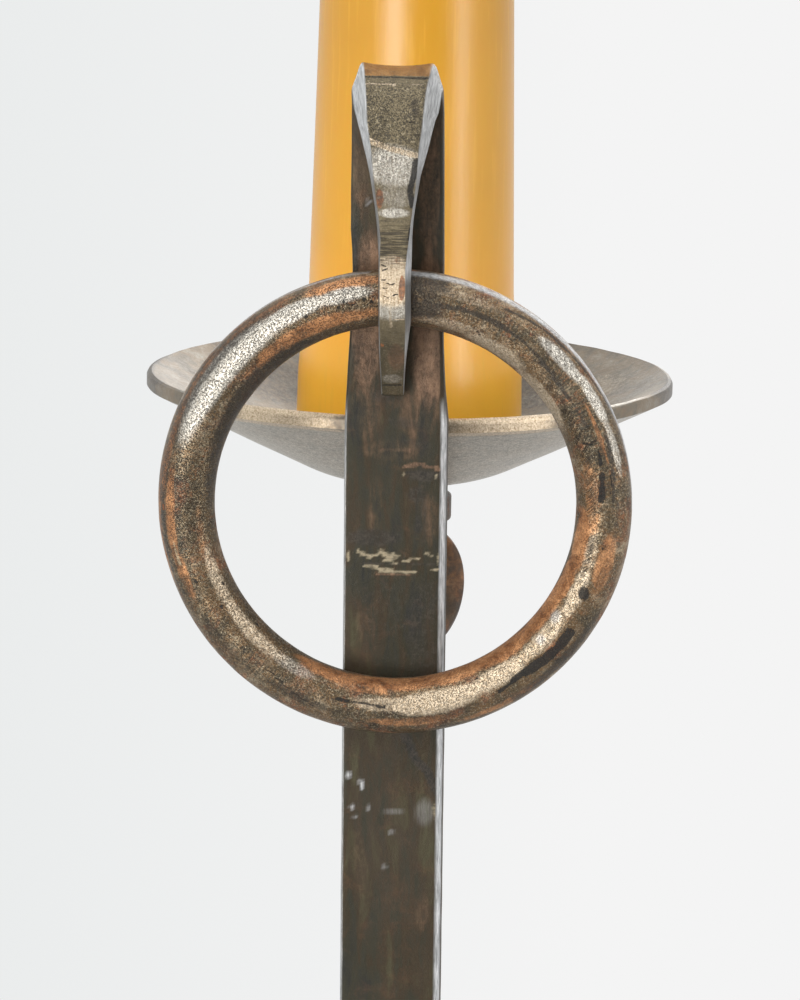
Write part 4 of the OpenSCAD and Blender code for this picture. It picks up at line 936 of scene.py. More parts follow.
def make_arm(material):
    line = fill_in([(ARM_IN, STRAP_TOP), (ARM_IN, -CURVE_DROP)], 1.6)
    line += arc((ARM_IN + CURVE_R, -CURVE_DROP), CURVE_R, 180, 360, 130)[1:]
    line += fill_in([(ARM_FRONT, -CURVE_DROP), (ARM_FRONT, -21.1 - PAD_T / 2)], 1.3)[1:]
    out, run = normals(line), run_lengths(line)
    total, strap = run[-1], STRAP_TOP + CURVE_DROP
    points, grain = [], []
    for (p0, p1), n, s in zip(line, out, run):
        rising = p0 > ARM_IN + CURVE_R
        w, depth = arm_sizes(p1, rising, (s - strap) / (total - strap), s)
        for x, d in bar_ring((-w / 2, w / 2), (0.8 - w / 2, w / 2 - 0.8), depth, 0.8, 0.8, 0.8, ARM_COUNTS):
            free = smooth((s - strap) / 12)
            deep = d + free * (0.2 * wobble((x, s, d), 13, 2.0) + 0.07 * wobble((x, s, d), 4, 6.0))
            crown = 0.5 * (1 - (2 * x / w) ** 2) * (1 if d > depth / 2 else -1) * smooth(s / total * 3 - 1.4)
            deep += min(0.35, max(-0.35, crown))
            points.append((x, POST_Y + p0 + n[0] * deep, RING_Z + p1 + n[1] * deep))
            grain.append((x, s, d))
    rows, cols = len(line), sum(ARM_COUNTS)
    faces = grid_faces(rows, cols)
    faces.append(tuple(range(cols))[::-1])
    faces.append(tuple((rows - 1) * cols + j for j in range(cols)))
    obj = face_out(build("arm_skin", points, faces, material))
    s = np.array([g[1] for g in grain])
    put_vectors(obj, "grain", grain)
    wear_and_painted_light = np.zeros((len(s), 4))
    wear_and_painted_light[:, COPPER] = 0.45 * np.clip((s - 180) / 20, 0, 1)
    put_paint(obj, wear_and_painted_light)
    dress(obj, "frame", "forged_iron", "arm")
    pad = lathe("arm_pad", soften([(STEM_R + 0.3, -PAD_T), (PAD_R, -PAD_T), (PAD_R, 0), (STEM_R + 0.3, 0)], 1.0), 96, material)
    put_paint(pad)
    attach(pad, "frame")
    return obj


def make_rivets(material):
    """Two rivets: shanks through post and strap, low domed heads on the strap's back."""
    back = POST_Y + POST_T / 2 + STRAP_T
    front = POST_Y - POST_T / 2 + 0.4
    points, faces = [], []
    for drop in (RIVET_HIGH, RIVET_LOW):
        profile = [(2.9, front), (2.9, back - 0.2), (5.5, back - 0.2), (5.5, back + 0.5)]
        profile += [(5.5 * math.cos(a), back + 0.5 + 2.3 * math.sin(a)) for a in np.radians([15, 30, 45, 60, 75, 85])]
        first, cols = len(points), 32
        for r, y in profile:
            for j in range(cols):
                a = 2 * math.pi * j / cols
                k = 1 + 0.03 * math.sin(3 * a + drop)
                points.append((r * k * math.cos(a), y, RING_Z + drop + r * k * math.sin(a)))
        faces += grid_faces(len(profile), cols, first)
        faces.append(tuple(first + j for j in range(cols)))
        faces.append(tuple(first + (len(profile) - 1) * cols + j for j in range(cols)))
    obj = hold_edges(face_out(build("rivet_skin", points, faces, material)), 50)
    return dress(obj, "frame", "forged_iron", "arm_rivets")


# ---------------------------------------------------------------- turned pieces on the candle's axis
def lathe(name, profile, segments, material, bend=None):
    """Closed outline (r, h) turned round the candle's axis; bend(r, h, angle) may move a point."""
    points, grain = [], []
    for i in range(segments):
        a = 2 * math.pi * i / segments
        for r, h in profile:
            q, z = bend(r, h, a) if bend else (r, h)
            points.append((q * math.cos(a), q * math.sin(a), z))
            grain.append((q * math.cos(a), q * math.sin(a), z))
    obj = face_out(build(name, on_candle(points), grid_faces(segments, len(profile), round_rows=True), material))
    put_vectors(obj, "grain", grain)
    return hold_edges(obj, 40)


def turned(name, node, slot_name, profile, material, r=0.4, segments=96, bend=None, body="frame"):
    obj = lathe(name, soften(profile, r), segments, material, bend)
    return dress(obj, body, slot_name, node)


DISH_Z, DISH_T, DISH_R, DISH_RISE, DISH_FLOOR_R, DISH_BEND_R = 5.0, 4.0, 83.4, 30.35, 23.5, 53.0
DISH_SLOPE = math.atan(DISH_RISE / (DISH_R - DISH_FLOOR_R))
DISH_RIM_TOP = DISH_Z + DISH_RISE + DISH_T / math.cos(DISH_SLOPE)


def dish_outline():
    slope, rim_top = DISH_SLOPE, DISH_RIM_TOP
    flat = DISH_FLOOR_R - DISH_BEND_R * math.tan(slope / 2)
    centre = (flat, DISH_Z + DISH_BEND_R)
    deg = math.degrees(slope)
    hole = STEM_R + 0.3
    under = [(hole, DISH_Z)] + arc(centre, DISH_BEND_R, 270, 270 + deg, 12)
    edge = [(DISH_R, rim_top - DISH_T / math.cos(slope)), (DISH_R + 0.0, rim_top - 1.6), (DISH_R - 0.5, rim_top - 0.6), (DISH_R - 1.5, rim_top - 0.25)]
    inside = arc(centre, DISH_BEND_R - DISH_T, 270 + deg, 270, 12) + [(hole, DISH_Z + DISH_T)]
    line = fill_in(under + [edge[0]], 2.0) + fill_in(edge, 0.6)[1:] + fill_in([edge[-1]] + inside, 2.0)[1:]
    return line


def dish_bend(r, h, a):
    """Hammered, slightly uneven sheet and rim."""
    x, y = r * math.cos(a), r * math.sin(a)
    out = smooth((r - 20) / 50)
    lift = 0.5 * out * wobble((x, y, 0), 55, 1.0) + 0.1 * out * wobble((x, y, h), 10, 4.0)
    return r - 0.25 * out * (0.5 + 0.5 * wobble((x, y, 0), 24, 9.0)), h + lift - 0.5 * out


# Places on the dish: degrees round it seen from above, the front at 270, and distance from its axis.
# The pale and bare places on the lip are painted highlights, the pale ones inside lighten it in patches, the dark ones
# are painted shade beside the sleeve and at the rim's two ends, and the copper ones are rust.
DISH_WEAR_AND_LIGHT = [
    (PALE, 244, 81.8, 17, 2.4, 1.4), (PALE, 291, 81.8, 18, 2.4, 1.3), (BARE_AND_HIGHLIGHT, 268, 81.5, 14, 1.8, 0.6),
    (DARK, 132, 57, 34, 15, 0.55), (DARK, 90, 56, 40, 14, 0.45), (DARK, 50, 58, 30, 15, 0.6),
    (DARK, 184, 82.6, 30, 1.7, 0.7), (DARK, 356, 82.6, 26, 1.7, 0.7), (PALE, 22, 68, 14, 8, 0.35), (BARE_AND_HIGHLIGHT, 225, 81.5, 20, 1.6, 0.7), (BARE_AND_HIGHLIGHT, 320, 81.5, 20, 1.6, 0.7),
    (PALE, 200, 70, 24, 12, 0.35), (DARK, 305, 52, 16, 14, 0.8), (PALE, 340, 70, 20, 12, 0.4), (COPPER, 289, 82, 4, 1.8, 0.9), (COPPER, 297, 82, 3, 1.8, 0.9),
]


def make_dish(material):
    line = dish_outline()
    obj = lathe("dish_skin", line, 288, material, dish_bend)
    a = np.repeat(np.arange(288) * 360.0 / 288, len(line))
    r = np.tile(np.array([p[0] for p in line]), 288)
    h = np.tile(np.array([p[1] for p in line]), 288)
    slope_in = np.tile(np.arange(len(line)) > len(line) * 0.5, 288)
    wear_and_painted_light = np.zeros((len(a), 4))
    for channel, angle, radius, length, width, strength in DISH_WEAR_AND_LIGHT:
        blob(a * math.pi / 180 * 70, r, wear_and_painted_light, (channel, angle * math.pi / 180 * 70, radius, length, width, 0, strength))
    # The underside is painted bare and pale as a painted reflection of the white surroundings, and the inside is
    # lightened a little all over.
    under = ~slope_in & (r < 81)
    wear_and_painted_light[under] = 0
    wear_and_painted_light[under, BARE_AND_HIGHLIGHT] = 0.5
    wear_and_painted_light[under, PALE] = 0.3
    inner = slope_in & (r < 80)
    wear_and_painted_light[inner, BARE_AND_HIGHLIGHT] = np.maximum(wear_and_painted_light[inner, BARE_AND_HIGHLIGHT], 0.25)
    put_paint(obj, wear_and_painted_light)
    return dress(obj, "frame", "worn_iron", "dish")


SLEEVE_Z = DISH_RIM_TOP - (DISH_R - 33.0) * math.tan(DISH_SLOPE) + 3.8
SLEEVE_H, SLEEVE_TOP_R, SLEEVE_TAPER = 227.0, 28.3, 0.0227
SLEEVE_TOP = SLEEVE_Z + SLEEVE_H


def body_r(z):
    return SLEEVE_TOP_R + SLEEVE_TAPER * (SLEEVE_TOP - z)


def make_sleeve(material):
    foot_from, foot_to = SLEEVE_Z + 20, SLEEVE_Z + 48
    outer = [(body_r(z) + 2.5 * (1 - smooth((z - foot_from) / (foot_to - foot_from))), z)
             for z in np.linspace(SLEEVE_Z + 0.8, SLEEVE_TOP - 0.8, 90)]
    line = [(outer[0][0] - 0.6, SLEEVE_Z)] + outer + [(SLEEVE_TOP_R - 0.5, SLEEVE_TOP), (SLEEVE_TOP_R - 2.9, SLEEVE_TOP)]
    line += [(body_r(z) - 3.5, z) for z in np.linspace(SLEEVE_TOP - 0.8, SLEEVE_Z, 20)]

    def drawn(r, h, a):
        return r - 0.05 + 0.12 * wobble((r * math.cos(a), r * math.sin(a), h * 0.4), 30, 2.0), h

    obj = lathe("sleeve_skin", line, 192, material, drawn)
    return dress(obj, "frame", "amber_sleeve", "sleeve")


def hex_nut(name, node, low, high, material):
    """Six-sided nut with chamfered corners and a bored, countersunk middle."""
    r, hole, cols = 9.8, STEM_R + 0.3, 96
    flat = r * math.cos(math.pi / 6)
    rows = [(hole, low + 0.6, 0), (hole + 0.6, low, 0), (flat - 0.2, low, 0), (r, low + 0.75, 1), (r, high - 0.75, 1),
            (flat - 0.2, high, 0), (hole + 0.6, high, 0), (hole, high - 0.6, 0)]
    points, grain = [], []
    for i in range(cols):
        a = 2 * math.pi * i / cols
        near = (a + math.pi / 6) % (math.pi / 3) - math.pi / 6
        hexed = flat / math.cos(math.pi / 6 - abs(near))
        for q, h, kind in rows:
            reach = hexed if kind else q
            slack = 0.42 * (hexed - flat) if kind else 0
            h = h + slack if kind and h < (low + high) / 2 else h - slack if kind else h
            points.append((reach * math.cos(a), reach * math.sin(a), h))
            grain.append(points[-1])
    obj = face_out(build(name, on_candle(points), grid_faces(cols, len(rows), round_rows=True), material))
    put_vectors(obj, "grain", grain)
    hold_edges(obj, 28)
    return dress(obj, "frame", "steel", node)


def make_stem(material):
    """Threaded tube: a fine screw thread runs up its outside."""
    low, high, pitch, cols = -22.2, DOME_Z - 1, 1.0, 40
    rows = int((high - low) / pitch * 6)
    points = []
    for i in range(rows + 1):
        z = mix(low, high, i / rows)
        for j in range(cols):
            a = 2 * math.pi * j / cols
            wave = 0.5 + 0.5 * math.cos(2 * math.pi * (z - low) / pitch - a)
            r = STEM_R - 0.42 * wave * smooth((z - low) / 1.5) * smooth((high - z) / 1.5)
            points.append((r * math.cos(a), r * math.sin(a), z))
    for z in (high, low):
        points += [(STEM_BORE_R * math.cos(2 * math.pi * j / cols), STEM_BORE_R * math.sin(2 * math.pi * j / cols), z) for j in range(cols)]
    faces = grid_faces(rows + 3, cols, round_rows=True)
    obj = face_out(build("stem_skin", on_candle(points), faces, material))
    put_vectors(obj, "grain", points)
    hold_edges(obj, 50)
    return dress(obj, "frame", "steel", "stem_tube")


# ---------------------------------------------------------------- legs
LEG_TOP, LEG_SPLIT, LEG_BEND_R, LEG_ANGLE, FOOT_BEND_R = 330.0, 190.0, 100.0, 58.0, 60.0
LEG_RUN, FOOT_REACH, FOOT_R, FOOT_T, LEG_BAR_R = 218.157, 231.157, 22.0, 7.0, 8.0


def leg_line():
    dome = [(0.0, LEG_TOP - LEG_BAR_R + LEG_BAR_R * math.cos(a), LEG_BAR_R * math.sin(a)) for a in np.radians(np.linspace(4, 90, 12))]
    upper = fill_in([(0.0, LEG_TOP - LEG_BAR_R), (0.0, LEG_SPLIT)], 4.0)[1:]
    upper += arc((LEG_BEND_R, LEG_SPLIT), LEG_BEND_R, 180, 180 + LEG_ANGLE, 40)[1:]
    lower = arc((LEG_RUN, 9 + FOOT_BEND_R), FOOT_BEND_R, 180 + LEG_ANGLE, 270, 24)
    slope = fill_in([upper[-1], lower[0]], 4.0)[1:-1]
    end = fill_in([lower[-1], (FOOT_REACH, FOOT_T / 2 + 1)], 2.0)[1:]
    bar = [(*p, LEG_BAR_R) for p in upper + slope + lower]
    last = [(*p, mix(LEG_BAR_R, FOOT_T / 2, (p[0] - LEG_RUN) / (FOOT_REACH - LEG_RUN))) for p in end]
    return dome + bar + last


def make_leg(name, node, x0, off, turn, material):
    line = leg_line()
    flat = [(p[0], p[1]) for p in line]
    out, run = normals(flat), run_lengths(flat)
    cols, points, grain = 36, [], []
    seed = turn * 0.13
    for (px, pz, r), n, s in zip(line, out, run):
        for j in range(cols):
            a = 2 * math.pi * j / cols
            dent = smooth(1 + (pz - LEG_SPLIT) / -30) if pz > LEG_SPLIT - 30 else 1.0
            q = r * (1 - 0.012) + dent * (0.16 * wobble((r * math.cos(a), s, r * math.sin(a)), 12, seed))
            q = min(q, r)
            points.append((px + q * math.cos(a) * n[0], q * math.sin(a), pz + q * math.cos(a) * n[1]))
            grain.append((r * math.cos(a) + seed * 9, s, r * math.sin(a)))
    rows = len(line)
    faces = grid_faces(rows, cols) + [tuple(range(cols))[::-1], tuple((rows - 1) * cols + j for j in range(cols))]
    rim = soften([(0.01, 0.0), (FOOT_R, 0.0), (FOOT_R, FOOT_T), (0.01, FOOT_T)], 1.2)
    rim = fill_in(rim + [rim[0]], 3.0)[:-1]
    first = len(points)
    for i in range(64):
        a = 2 * math.pi * i / 64
        for r, h in rim:
            q = r * (1 - 0.012 * (0.5 + 0.5 * wobble((math.cos(a) * 22, math.sin(a) * 22, seed), 14)))
            points.append((FOOT_REACH + q * math.cos(a), q * math.sin(a), h))
            grain.append((q * math.cos(a), q * math.sin(a) + 400, h + seed * 9))
    faces += grid_faces(64, len(rim), first, round_rows=True)
    p = np.array(points)
    t = math.radians(turn)
    moved = np.stack([x0 + p[:, 0] * math.cos(t) - p[:, 1] * math.sin(t), POST_Y + off + p[:, 0] * math.sin(t) + p[:, 1] * math.cos(t), p[:, 2]], 1)
    obj = face_out(build(name, moved, faces, material))
    put_vectors(obj, "grain", grain)
    wear_and_painted_light = np.zeros((len(points), 4))
    height = moved[:, 2]
    wear_and_painted_light[:, BARE_AND_HIGHLIGHT] = 0.35 * np.clip((30 - height) / 30, 0, 1)
    wear_and_painted_light[:, COPPER] = 0.3
    put_paint(obj, wear_and_painted_light)
    return dress(obj, "frame", "forged_iron", node)


def keep_node(name, material, width=0.0):
    """A CAD node that stays and is given its material; welded and bevelled when a width is given."""
    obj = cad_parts[name]
    obj.data.materials.clear()
    obj.data.materials.append(material)
    if width:
        weld = obj.modifiers.new("weld", "WELD")
        weld.merge_threshold = 1e-5
        bevel = obj.modifiers.new("bevel", "BEVEL")
        bevel.width = width * 0.001
        bevel.segments = 2
        bevel.limit_method = "ANGLE"
        bevel.angle_limit = math.radians(50)
    return obj


# ---------------------------------------------------------------- lampholder and bulb
CAP_Z, CAP_T, HOLDER_R, SHELL_TOP = SLEEVE_TOP - 5, 1.6, 19.5, SLEEVE_TOP + 3
SHELL_Z, BEAD_R, NECK_R = SHELL_TOP - 32, 22.0, 8.0
DOME_Z, NECK_Z, INSERT_Z = SHELL_Z - 8, SHELL_Z - 18, SHELL_Z + 4
TIP_Z = INSERT_Z + 11 + 1.3
CAP_LOW, THREAD_R, PITCH = TIP_Z + 3.4, 12.6, 3.63
CAP_HIGH = CAP_LOW + 20.5
CROWN_Z, BULB_R = TIP_Z + 105.0, 30.0
BULB_MID = CROWN_Z - BULB_R
SKIRT_R, GLASS_NECK_R = 13.2, 12.5
FILAMENT_R, FILAMENT_Z = 10.0, BULB_MID + 4


def make_holder(enamel, metal, white):
    shell_in = HOLDER_R - 1.3
    collar_in = shell_in - 0.3 - 2.6
    shell = [(shell_in, SHELL_Z), (HOLDER_R, SHELL_Z), (HOLDER_R, SHELL_Z + 6), (HOLDER_R - 0.35, SHELL_Z + 6.6),
             (HOLDER_R - 0.35, SHELL_Z + 7.6), (HOLDER_R, SHELL_Z + 8.2), (HOLDER_R, CAP_Z - 1.6), (BEAD_R, CAP_Z - 1.6),
             (BEAD_R, CAP_Z), (HOLDER_R, CAP_Z), (HOLDER_R, SHELL_TOP), (collar_in + 0.6, SHELL_TOP),
             (collar_in + 0.6, SHELL_TOP - 1), (shell_in, SHELL_TOP - 1)]
    turned("holder_shell_skin", "holder_shell", "dark_metal", shell, enamel, 0.5)
    dome = [(STEM_R + 0.3, NECK_Z), (NECK_R, NECK_Z), (NECK_R, DOME_Z)]
    dome += [(NECK_R + (HOLDER_R - NECK_R) * math.sin(a), SHELL_Z - 8 * math.cos(a)) for a in np.radians(np.linspace(8, 90, 12))]
    dome += [(shell_in - 0.1, SHELL_Z), (shell_in - 0.1, INSERT_Z), (shell_in - 1.3, INSERT_Z)]
    dome += [(NECK_R + (shell_in - 1.3 - NECK_R) * math.sin(a), SHELL_Z - 6.8 * math.cos(a)) for a in np.radians(np.linspace(90, 0, 12))]
    dome += [(STEM_R + 0.3, DOME_Z + 1.2)]
    turned("holder_dome_skin", "holder_dome", "dark_metal", dome, enamel, 0.4)
    turned("shade_ring_skin", "shade_ring", "dark_metal", knurl_outline(), enamel, 0.5, 120, knurl)
    cap_r = body_r(CAP_Z) - 3.5 - 0.3
    cap = [(HOLDER_R + 0.3, CAP_Z), (cap_r - 1.2, CAP_Z), (cap_r - 1.2, CAP_Z - 8), (cap_r, CAP_Z - 8), (cap_r, CAP_Z + CAP_T), (HOLDER_R + 0.3, CAP_Z + CAP_T)]
    turned("sleeve_cap_skin", "sleeve_cap", "dark_metal", cap, enamel, 0.5)
    keep_node("holder_insert", white, 0.4)
    keep_node("screw_shell", metal["brass"])
    keep_node("centre_contact", metal["brass"], 0.2)
    keep_node("terminal_screws", metal["brass"], 0.2)


def knurl_outline():
    low, high = CAP_Z + CAP_T, SHELL_TOP - 1
    return [(HOLDER_R + 0.05, low), (BEAD_R, low), (BEAD_R, low + 1.2), (BEAD_R - 0.3, low + 1.4), (BEAD_R - 0.3, high - 1.4), (BEAD_R, high - 1.2), (BEAD_R, high), (HOLDER_R + 0.05, high)]


def knurl(r, h, a):
    """Fine upright grip ribs between the ring's two beads."""
    low, high = CAP_Z + CAP_T, SHELL_TOP - 1
    ribbed = r > BEAD_R - 0.6 and low + 1.25 < h < high - 1.25
    return (r + 0.12 * math.cos(60 * a) if ribbed else r), h


def thread_bend(r, h, a):
    """Rolled screw thread, one turn every pitch."""
    if not CAP_LOW + 0.3 < h < CAP_LOW + 14.5:
        return r, h
    fade = smooth((h - CAP_LOW - 0.3) / 1.5) * smooth((CAP_LOW + 14.5 - h) / 1.5)
    return r + 0.5 * fade * math.cos(2 * math.pi * (h - CAP_LOW) / PITCH - a), h


def glass_radius(z):
    t = (z - CAP_HIGH) / (BULB_MID - CAP_HIGH)
    return mix(GLASS_NECK_R, BULB_R, smooth(t * 0.98 + 0.02))


def glass_side(cut):
    side = [(glass_radius(z) - cut, z) for z in np.linspace(CAP_HIGH, BULB_MID, 40)]
    crown = [((BULB_R - cut) * math.cos(a), BULB_MID + (BULB_R - cut) * math.sin(a)) for a in np.radians(np.linspace(3, 89.5, 32))]
    return side + crown


def make_bulb(metal, clear):
    wall = 0.5
    zs = np.linspace(CAP_LOW, CAP_LOW + 14.5, 70)
    cap = [(THREAD_R, z) for z in zs] + [(SKIRT_R, CAP_LOW + 15.3), (SKIRT_R, CAP_HIGH), (SKIRT_R - wall, CAP_HIGH)]
    cap += [(SKIRT_R - wall, CAP_LOW + 15.3), (THREAD_R - 1.1, CAP_LOW + 14.5), (THREAD_R - 1.1, CAP_LOW)]
    obj = lathe("bulb_cap_skin", cap, 96, metal["brass"], thread_bend)
    dress(obj, "bulb", "brass", "bulb_cap")
    low = CAP_HIGH - 5
    line = [(GLASS_NECK_R, low)] + glass_side(0.05) + glass_side(0.8)[::-1] + [(GLASS_NECK_R - 0.8, low)]
    obj = lathe("bulb_glass_skin", line, 128, clear)
    obj.visible_shadow = False
    dress(obj, "bulb", "clear_glass", "bulb_glass")
    keep_node("bulb_stem", clear, 0.2)
    keep_node("bulb_tip", metal["solder"], 0.3)
    keep_node("bulb_insulator", metal["black_glass"], 0.2)
    keep_node("bulb_supports", metal["wire"])
    make_filament(metal["wire"])


def make_filament(material):
    """Fine coil wound round the hoop that the CAD shows as plain wire."""
    turns, count, coil = 110, 2200, 0.3
    points = []
    for i in range(count + 1):
        t = i / count
        a = math.radians(mix(20, 340, t))
        w = 2 * math.pi * turns * t
        r = FILAMENT_R + coil * math.cos(w)
        points.append((r * math.cos(a), r * math.sin(a), FILAMENT_Z + coil * math.sin(w)))
    curve = bpy.data.curves.new("filament_skin", "CURVE")
    curve.dimensions = "3D"
    curve.bevel_depth = 0.00006
    curve.bevel_resolution = 1
    spline = curve.splines.new("POLY")
    spline.points.add(len(points) - 1)
    for p, q in zip(spline.points, to_world(on_candle(points))):
        p.co = (*q, 1.0)
    obj = bpy.data.objects.new("filament_skin", curve)
    bpy.context.scene.collection.objects.link(obj)
    curve.materials.append(material)
    return dress(obj, "bulb", "wire", "bulb_filament")


# ---------------------------------------------------------------- light, floor and camera
def add_area(name, place, target, wide, high, energy, colour=(1, 1, 1)):
    light = bpy.data.lights.new(name, "AREA")
    light.shape, light.size, light.size_y = "RECTANGLE", wide, high
    light.energy, light.color = energy, colour
    obj = bpy.data.objects.new(name, light)
    obj.location = place
    obj.rotation_euler = (Vector(target) - Vector(place)).to_track_quat("-Z", "Y").to_euler()
    bpy.context.scene.collection.objects.link(obj)


FRONT_GLOOM = 0.22  # how bright gloss sees the room behind the camera


def add_world():
    """White as camera, gloss and glass see it; a plain dimmer sky for the light that falls on things."""
    world = bpy.data.worlds.new("studio")
    bpy.context.scene.world = world
    world.use_nodes = True
    tree = world.node_tree
    tree.nodes.clear()
    ray = tree.nodes.new("ShaderNodeLightPath")
    seen = tree.nodes.new("ShaderNodeMath")
    seen.operation = "MAXIMUM"
    tree.links.new(ray.outputs["Is Camera Ray"], seen.inputs[0])
    through = tree.nodes.new("ShaderNodeMath")
    through.operation = "MAXIMUM"
    tree.links.new(ray.outputs["Is Glossy Ray"], through.inputs[0])
    tree.links.new(ray.outputs["Is Transmission Ray"], through.inputs[1])
    tree.links.new(through.outputs[0], seen.inputs[1])
    white = tree.nodes.new("ShaderNodeBackground")
    towards = tree.nodes.new("ShaderNodeTexCoord")
    parts = tree.nodes.new("ShaderNodeSeparateXYZ")
    tree.links.new(towards.outputs["Generated"], parts.inputs[0])
    sideways = tree.nodes.new("ShaderNodeMapRange")
    sideways.inputs[1].default_value, sideways.inputs[2].default_value = -0.14, 0.02
    tree.links.new(parts.outputs["X"], sideways.inputs[0])
    wall = tree.nodes.new("ShaderNodeValToRGB")
    wall.color_ramp.elements[0].color, wall.color_ramp.elements[1].color = tone(234, 236, 236), tone(244, 244, 244)
    tree.links.new(sideways.outputs[0], wall.inputs[0])
    tree.links.new(wall.outputs[0], white.inputs[0])
    front = tree.nodes.new("ShaderNodeMapRange")
    front.interpolation_type = "SMOOTHSTEP"
    for index, value in ((1, -0.95), (2, -0.35), (3, FRONT_GLOOM), (4, 1.0)):
        front.inputs[index].default_value = value
    tree.links.new(parts.outputs["Y"], front.inputs[0])
    level = tree.nodes.new("ShaderNodeMath")
    level.operation = "MAXIMUM"
    tree.links.new(front.outputs[0], level.inputs[0])
    tree.links.new(ray.outputs["Is Camera Ray"], level.inputs[1])
    tree.links.new(level.outputs[0], white.inputs[1])
    sky = tree.nodes.new("ShaderNodeBackground")
    sky.inputs[0].default_value = (0.5, 0.505, 0.51, 1)
    either = tree.nodes.new("ShaderNodeMixShader")
    out = tree.nodes.new("ShaderNodeOutputWorld")
    tree.links.new(seen.outputs[0], either.inputs[0])
    tree.links.new(sky.outputs[0], either.inputs[1])
    tree.links.new(white.outputs[0], either.inputs[2])
    tree.links.new(either.outputs[0], out.inputs[0])


def add_floor():
    """Pale disc that keeps the lamp's shadow and fades out at its rim."""
    cols, radii = 96, (0.0001, 0.8, 1.6, 2.0, 2.4)
    points = [(1000 * r * math.cos(2 * math.pi * j / cols), 1000 * r * math.sin(2 * math.pi * j / cols), -0.05) for r in radii for j in range(cols)]
    sh = Shade("floor_paint")
    spot = sh.place(1.0)
    far = sh.add("VectorMath", {0: spot}, operation="LENGTH").outputs["Value"]
    grain = sh.noise(sh.place(), 60, 4, 0.6)
    colour = sh.ramp(grain, (0.3, tone(208, 208, 207)), (0.7, tone(216, 216, 215)))
    shader = sh.add("BsdfPrincipled", {"Base Color": colour, "Roughness": 0.85, "Alpha": sh.step(far, 1.5, 2.35, 1.0, 0.0)})
    out = sh.add("OutputMaterial", {})
    sh.tree.links.new(shader.outputs[0], out.inputs[0])
    floor = build("floor", points, grid_faces(len(radii), cols), sh.material)


def add_camera():
    """Viewing angle, distance and frame fitted to the photograph."""
    turn, down, roll, far = math.radians(1.87), math.radians(11.65), math.radians(0.63), 1106.0
    ahead = Vector((-math.sin(turn) * math.cos(down), math.cos(turn) * math.cos(down), -math.sin(down)))
    right = Vector((math.cos(turn), math.sin(turn), 0))
    up = right.cross(ahead)
    right, up = math.cos(roll) * right + math.sin(roll) * up, -math.sin(roll) * right + math.cos(roll) * up
    data = bpy.data.cameras.new("camera")
    data.sensor_width, data.lens = 36.0, 3.845 * 36.0
    data.shift_x, data.shift_y = 0.005, 0.0034
    data.clip_start, data.clip_end = 0.05, 50
    camera = bpy.data.objects.new("camera", data)
    place = Vector((0, RING_Y, RING_Z)) - far * ahead
    rows = [[right[i], up[i], -ahead[i], place[i] * 0.001] for i in range(3)] + [[0, 0, 0, 1]]
    from mathutils import Matrix
    camera.matrix_world = Matrix(rows)
    bpy.context.scene.collection.objects.link(camera)
    bpy.context.scene.camera = camera


def add_lights():
    aim = (0, -0.05, 1.33)
    add_area("key", (-0.74, -1.5, 1.7), aim, 0.62, 2.0, 22.5, (1.0, 0.98, 0.95))
    add_area("side", (1.35, -0.85, 1.75), aim, 0.45, 1.9, 11)
    add_area("top", (-0.3, -0.2, 3.2), aim, 1.4, 1.4, 11)
    add_area("back", (0.4, 1.8, 2.2), aim, 1.4, 1.4, 9)
    add_area("low", (-0.6, -1.6, 0.95), (0, 0, 1.1), 1.0, 0.5, 4)


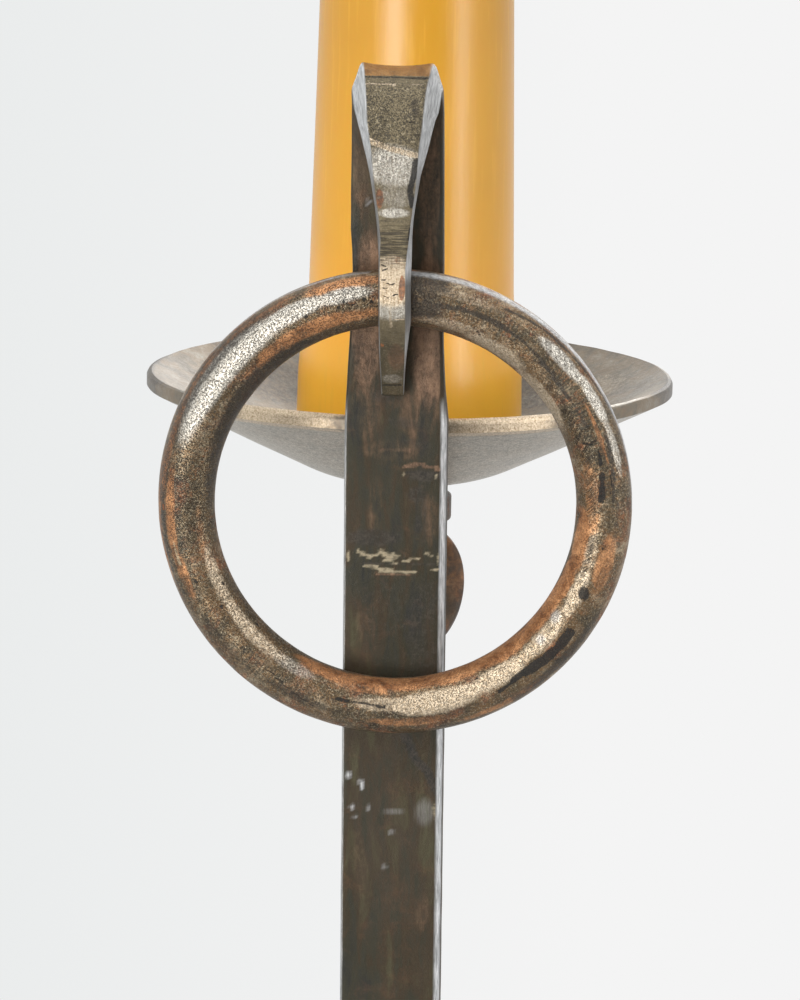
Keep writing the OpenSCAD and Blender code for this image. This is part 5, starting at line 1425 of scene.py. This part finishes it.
# ---------------------------------------------------------------- the lamp
def main():
    post_kind = Iron((tone(30, 30, 25), tone(48, 45, 31), tone(61, 50, 36), tone(77, 73, 54)), 0.12, 0.05, flow=(1.5, 1, 0.3),
                     copper=(tone(62, 49, 39), tone(134, 106, 84)))
    post_iron = iron("post_iron", post_kind)
    ring_kind = Iron((tone(66, 54, 40), tone(104, 90, 70), tone(128, 102, 74), tone(188, 172, 146)), 0.5, 0.5,
                     (0.75, 0.95), (0.4, 0.28), (0.13, 0.1), (1.0, 0.5, 1.0), -45.0, (tone(134, 82, 46), tone(220, 160, 110)),
                     (tone(38, 37, 31), tone(88, 80, 62)), True)
    ring_iron = iron("ring_iron", ring_kind)
    dish_kind = Iron((tone(100, 91, 78), tone(124, 116, 103), tone(136, 122, 104), tone(152, 146, 134)), 0.05, 0.06,
                     (0.6, 0.8), (0.4, 0.32), (0.1, 0.04))
    dish_iron = iron("dish_iron", dish_kind)
    arm_kind = Iron((tone(46, 38, 32), tone(66, 57, 48), tone(80, 66, 53), tone(96, 88, 77)), 0.25, 0.25)
    arm_iron = iron("arm_iron", arm_kind)
    plain_iron = iron("plain_iron", arm_kind, painted=False)
    steel, enamel, white, clear = plated_steel("steel"), dark_enamel("enamel"), porcelain("porcelain"), glass("glass")
    metal = {"brass": brass("brass"), "wire": wire("wire"), "solder": solder("solder"), "black_glass": black_glass("black_glass")}
    make_post(post_iron)
    make_ring(ring_iron)
    make_arm(arm_iron)
    make_rivets(plain_iron)
    make_dish(dish_iron)
    make_sleeve(amber("amber"))
    for name, node, x0, off, turn in (("left_leg_skin", "left_leg", -8.2, -13, -150), ("right_leg_skin", "right_leg", 8.2, -13, -30), ("back_leg_skin", "back_leg", 0, 13, 90)):
        make_leg(name, node, x0, off, turn, arm_iron)
    for name in ("lower_collar", "upper_collar", "seat_washer"):
        keep_node(name, plain_iron, 0.7)
    for name in ("pad_washer", "dish_washer", "sleeve_seat"):
        keep_node(name, steel, 0.3)
    make_stem(steel)
    hex_nut("pad_nut_skin", "pad_nut", -14.7, -9.7, steel)
    hex_nut("dish_nut_skin", "dish_nut", DISH_Z + DISH_T + 1.5, DISH_Z + DISH_T + 6.5, steel)
    hex_nut("seat_nut_skin", "seat_nut", SLEEVE_Z, SLEEVE_Z + 5, steel)
    hex_nut("lock_nut_skin", "stem_lock_nut", NECK_Z - 3, NECK_Z, steel)
    keep_node("cord_bush", plastic("bush_plastic"), 0.3)
    make_holder(enamel, metal, white)
    make_bulb(metal, clear)
    add_world()
    add_floor()
    add_lights()
    add_camera()
    bpy.context.scene.view_settings.view_transform = "Standard"


main()
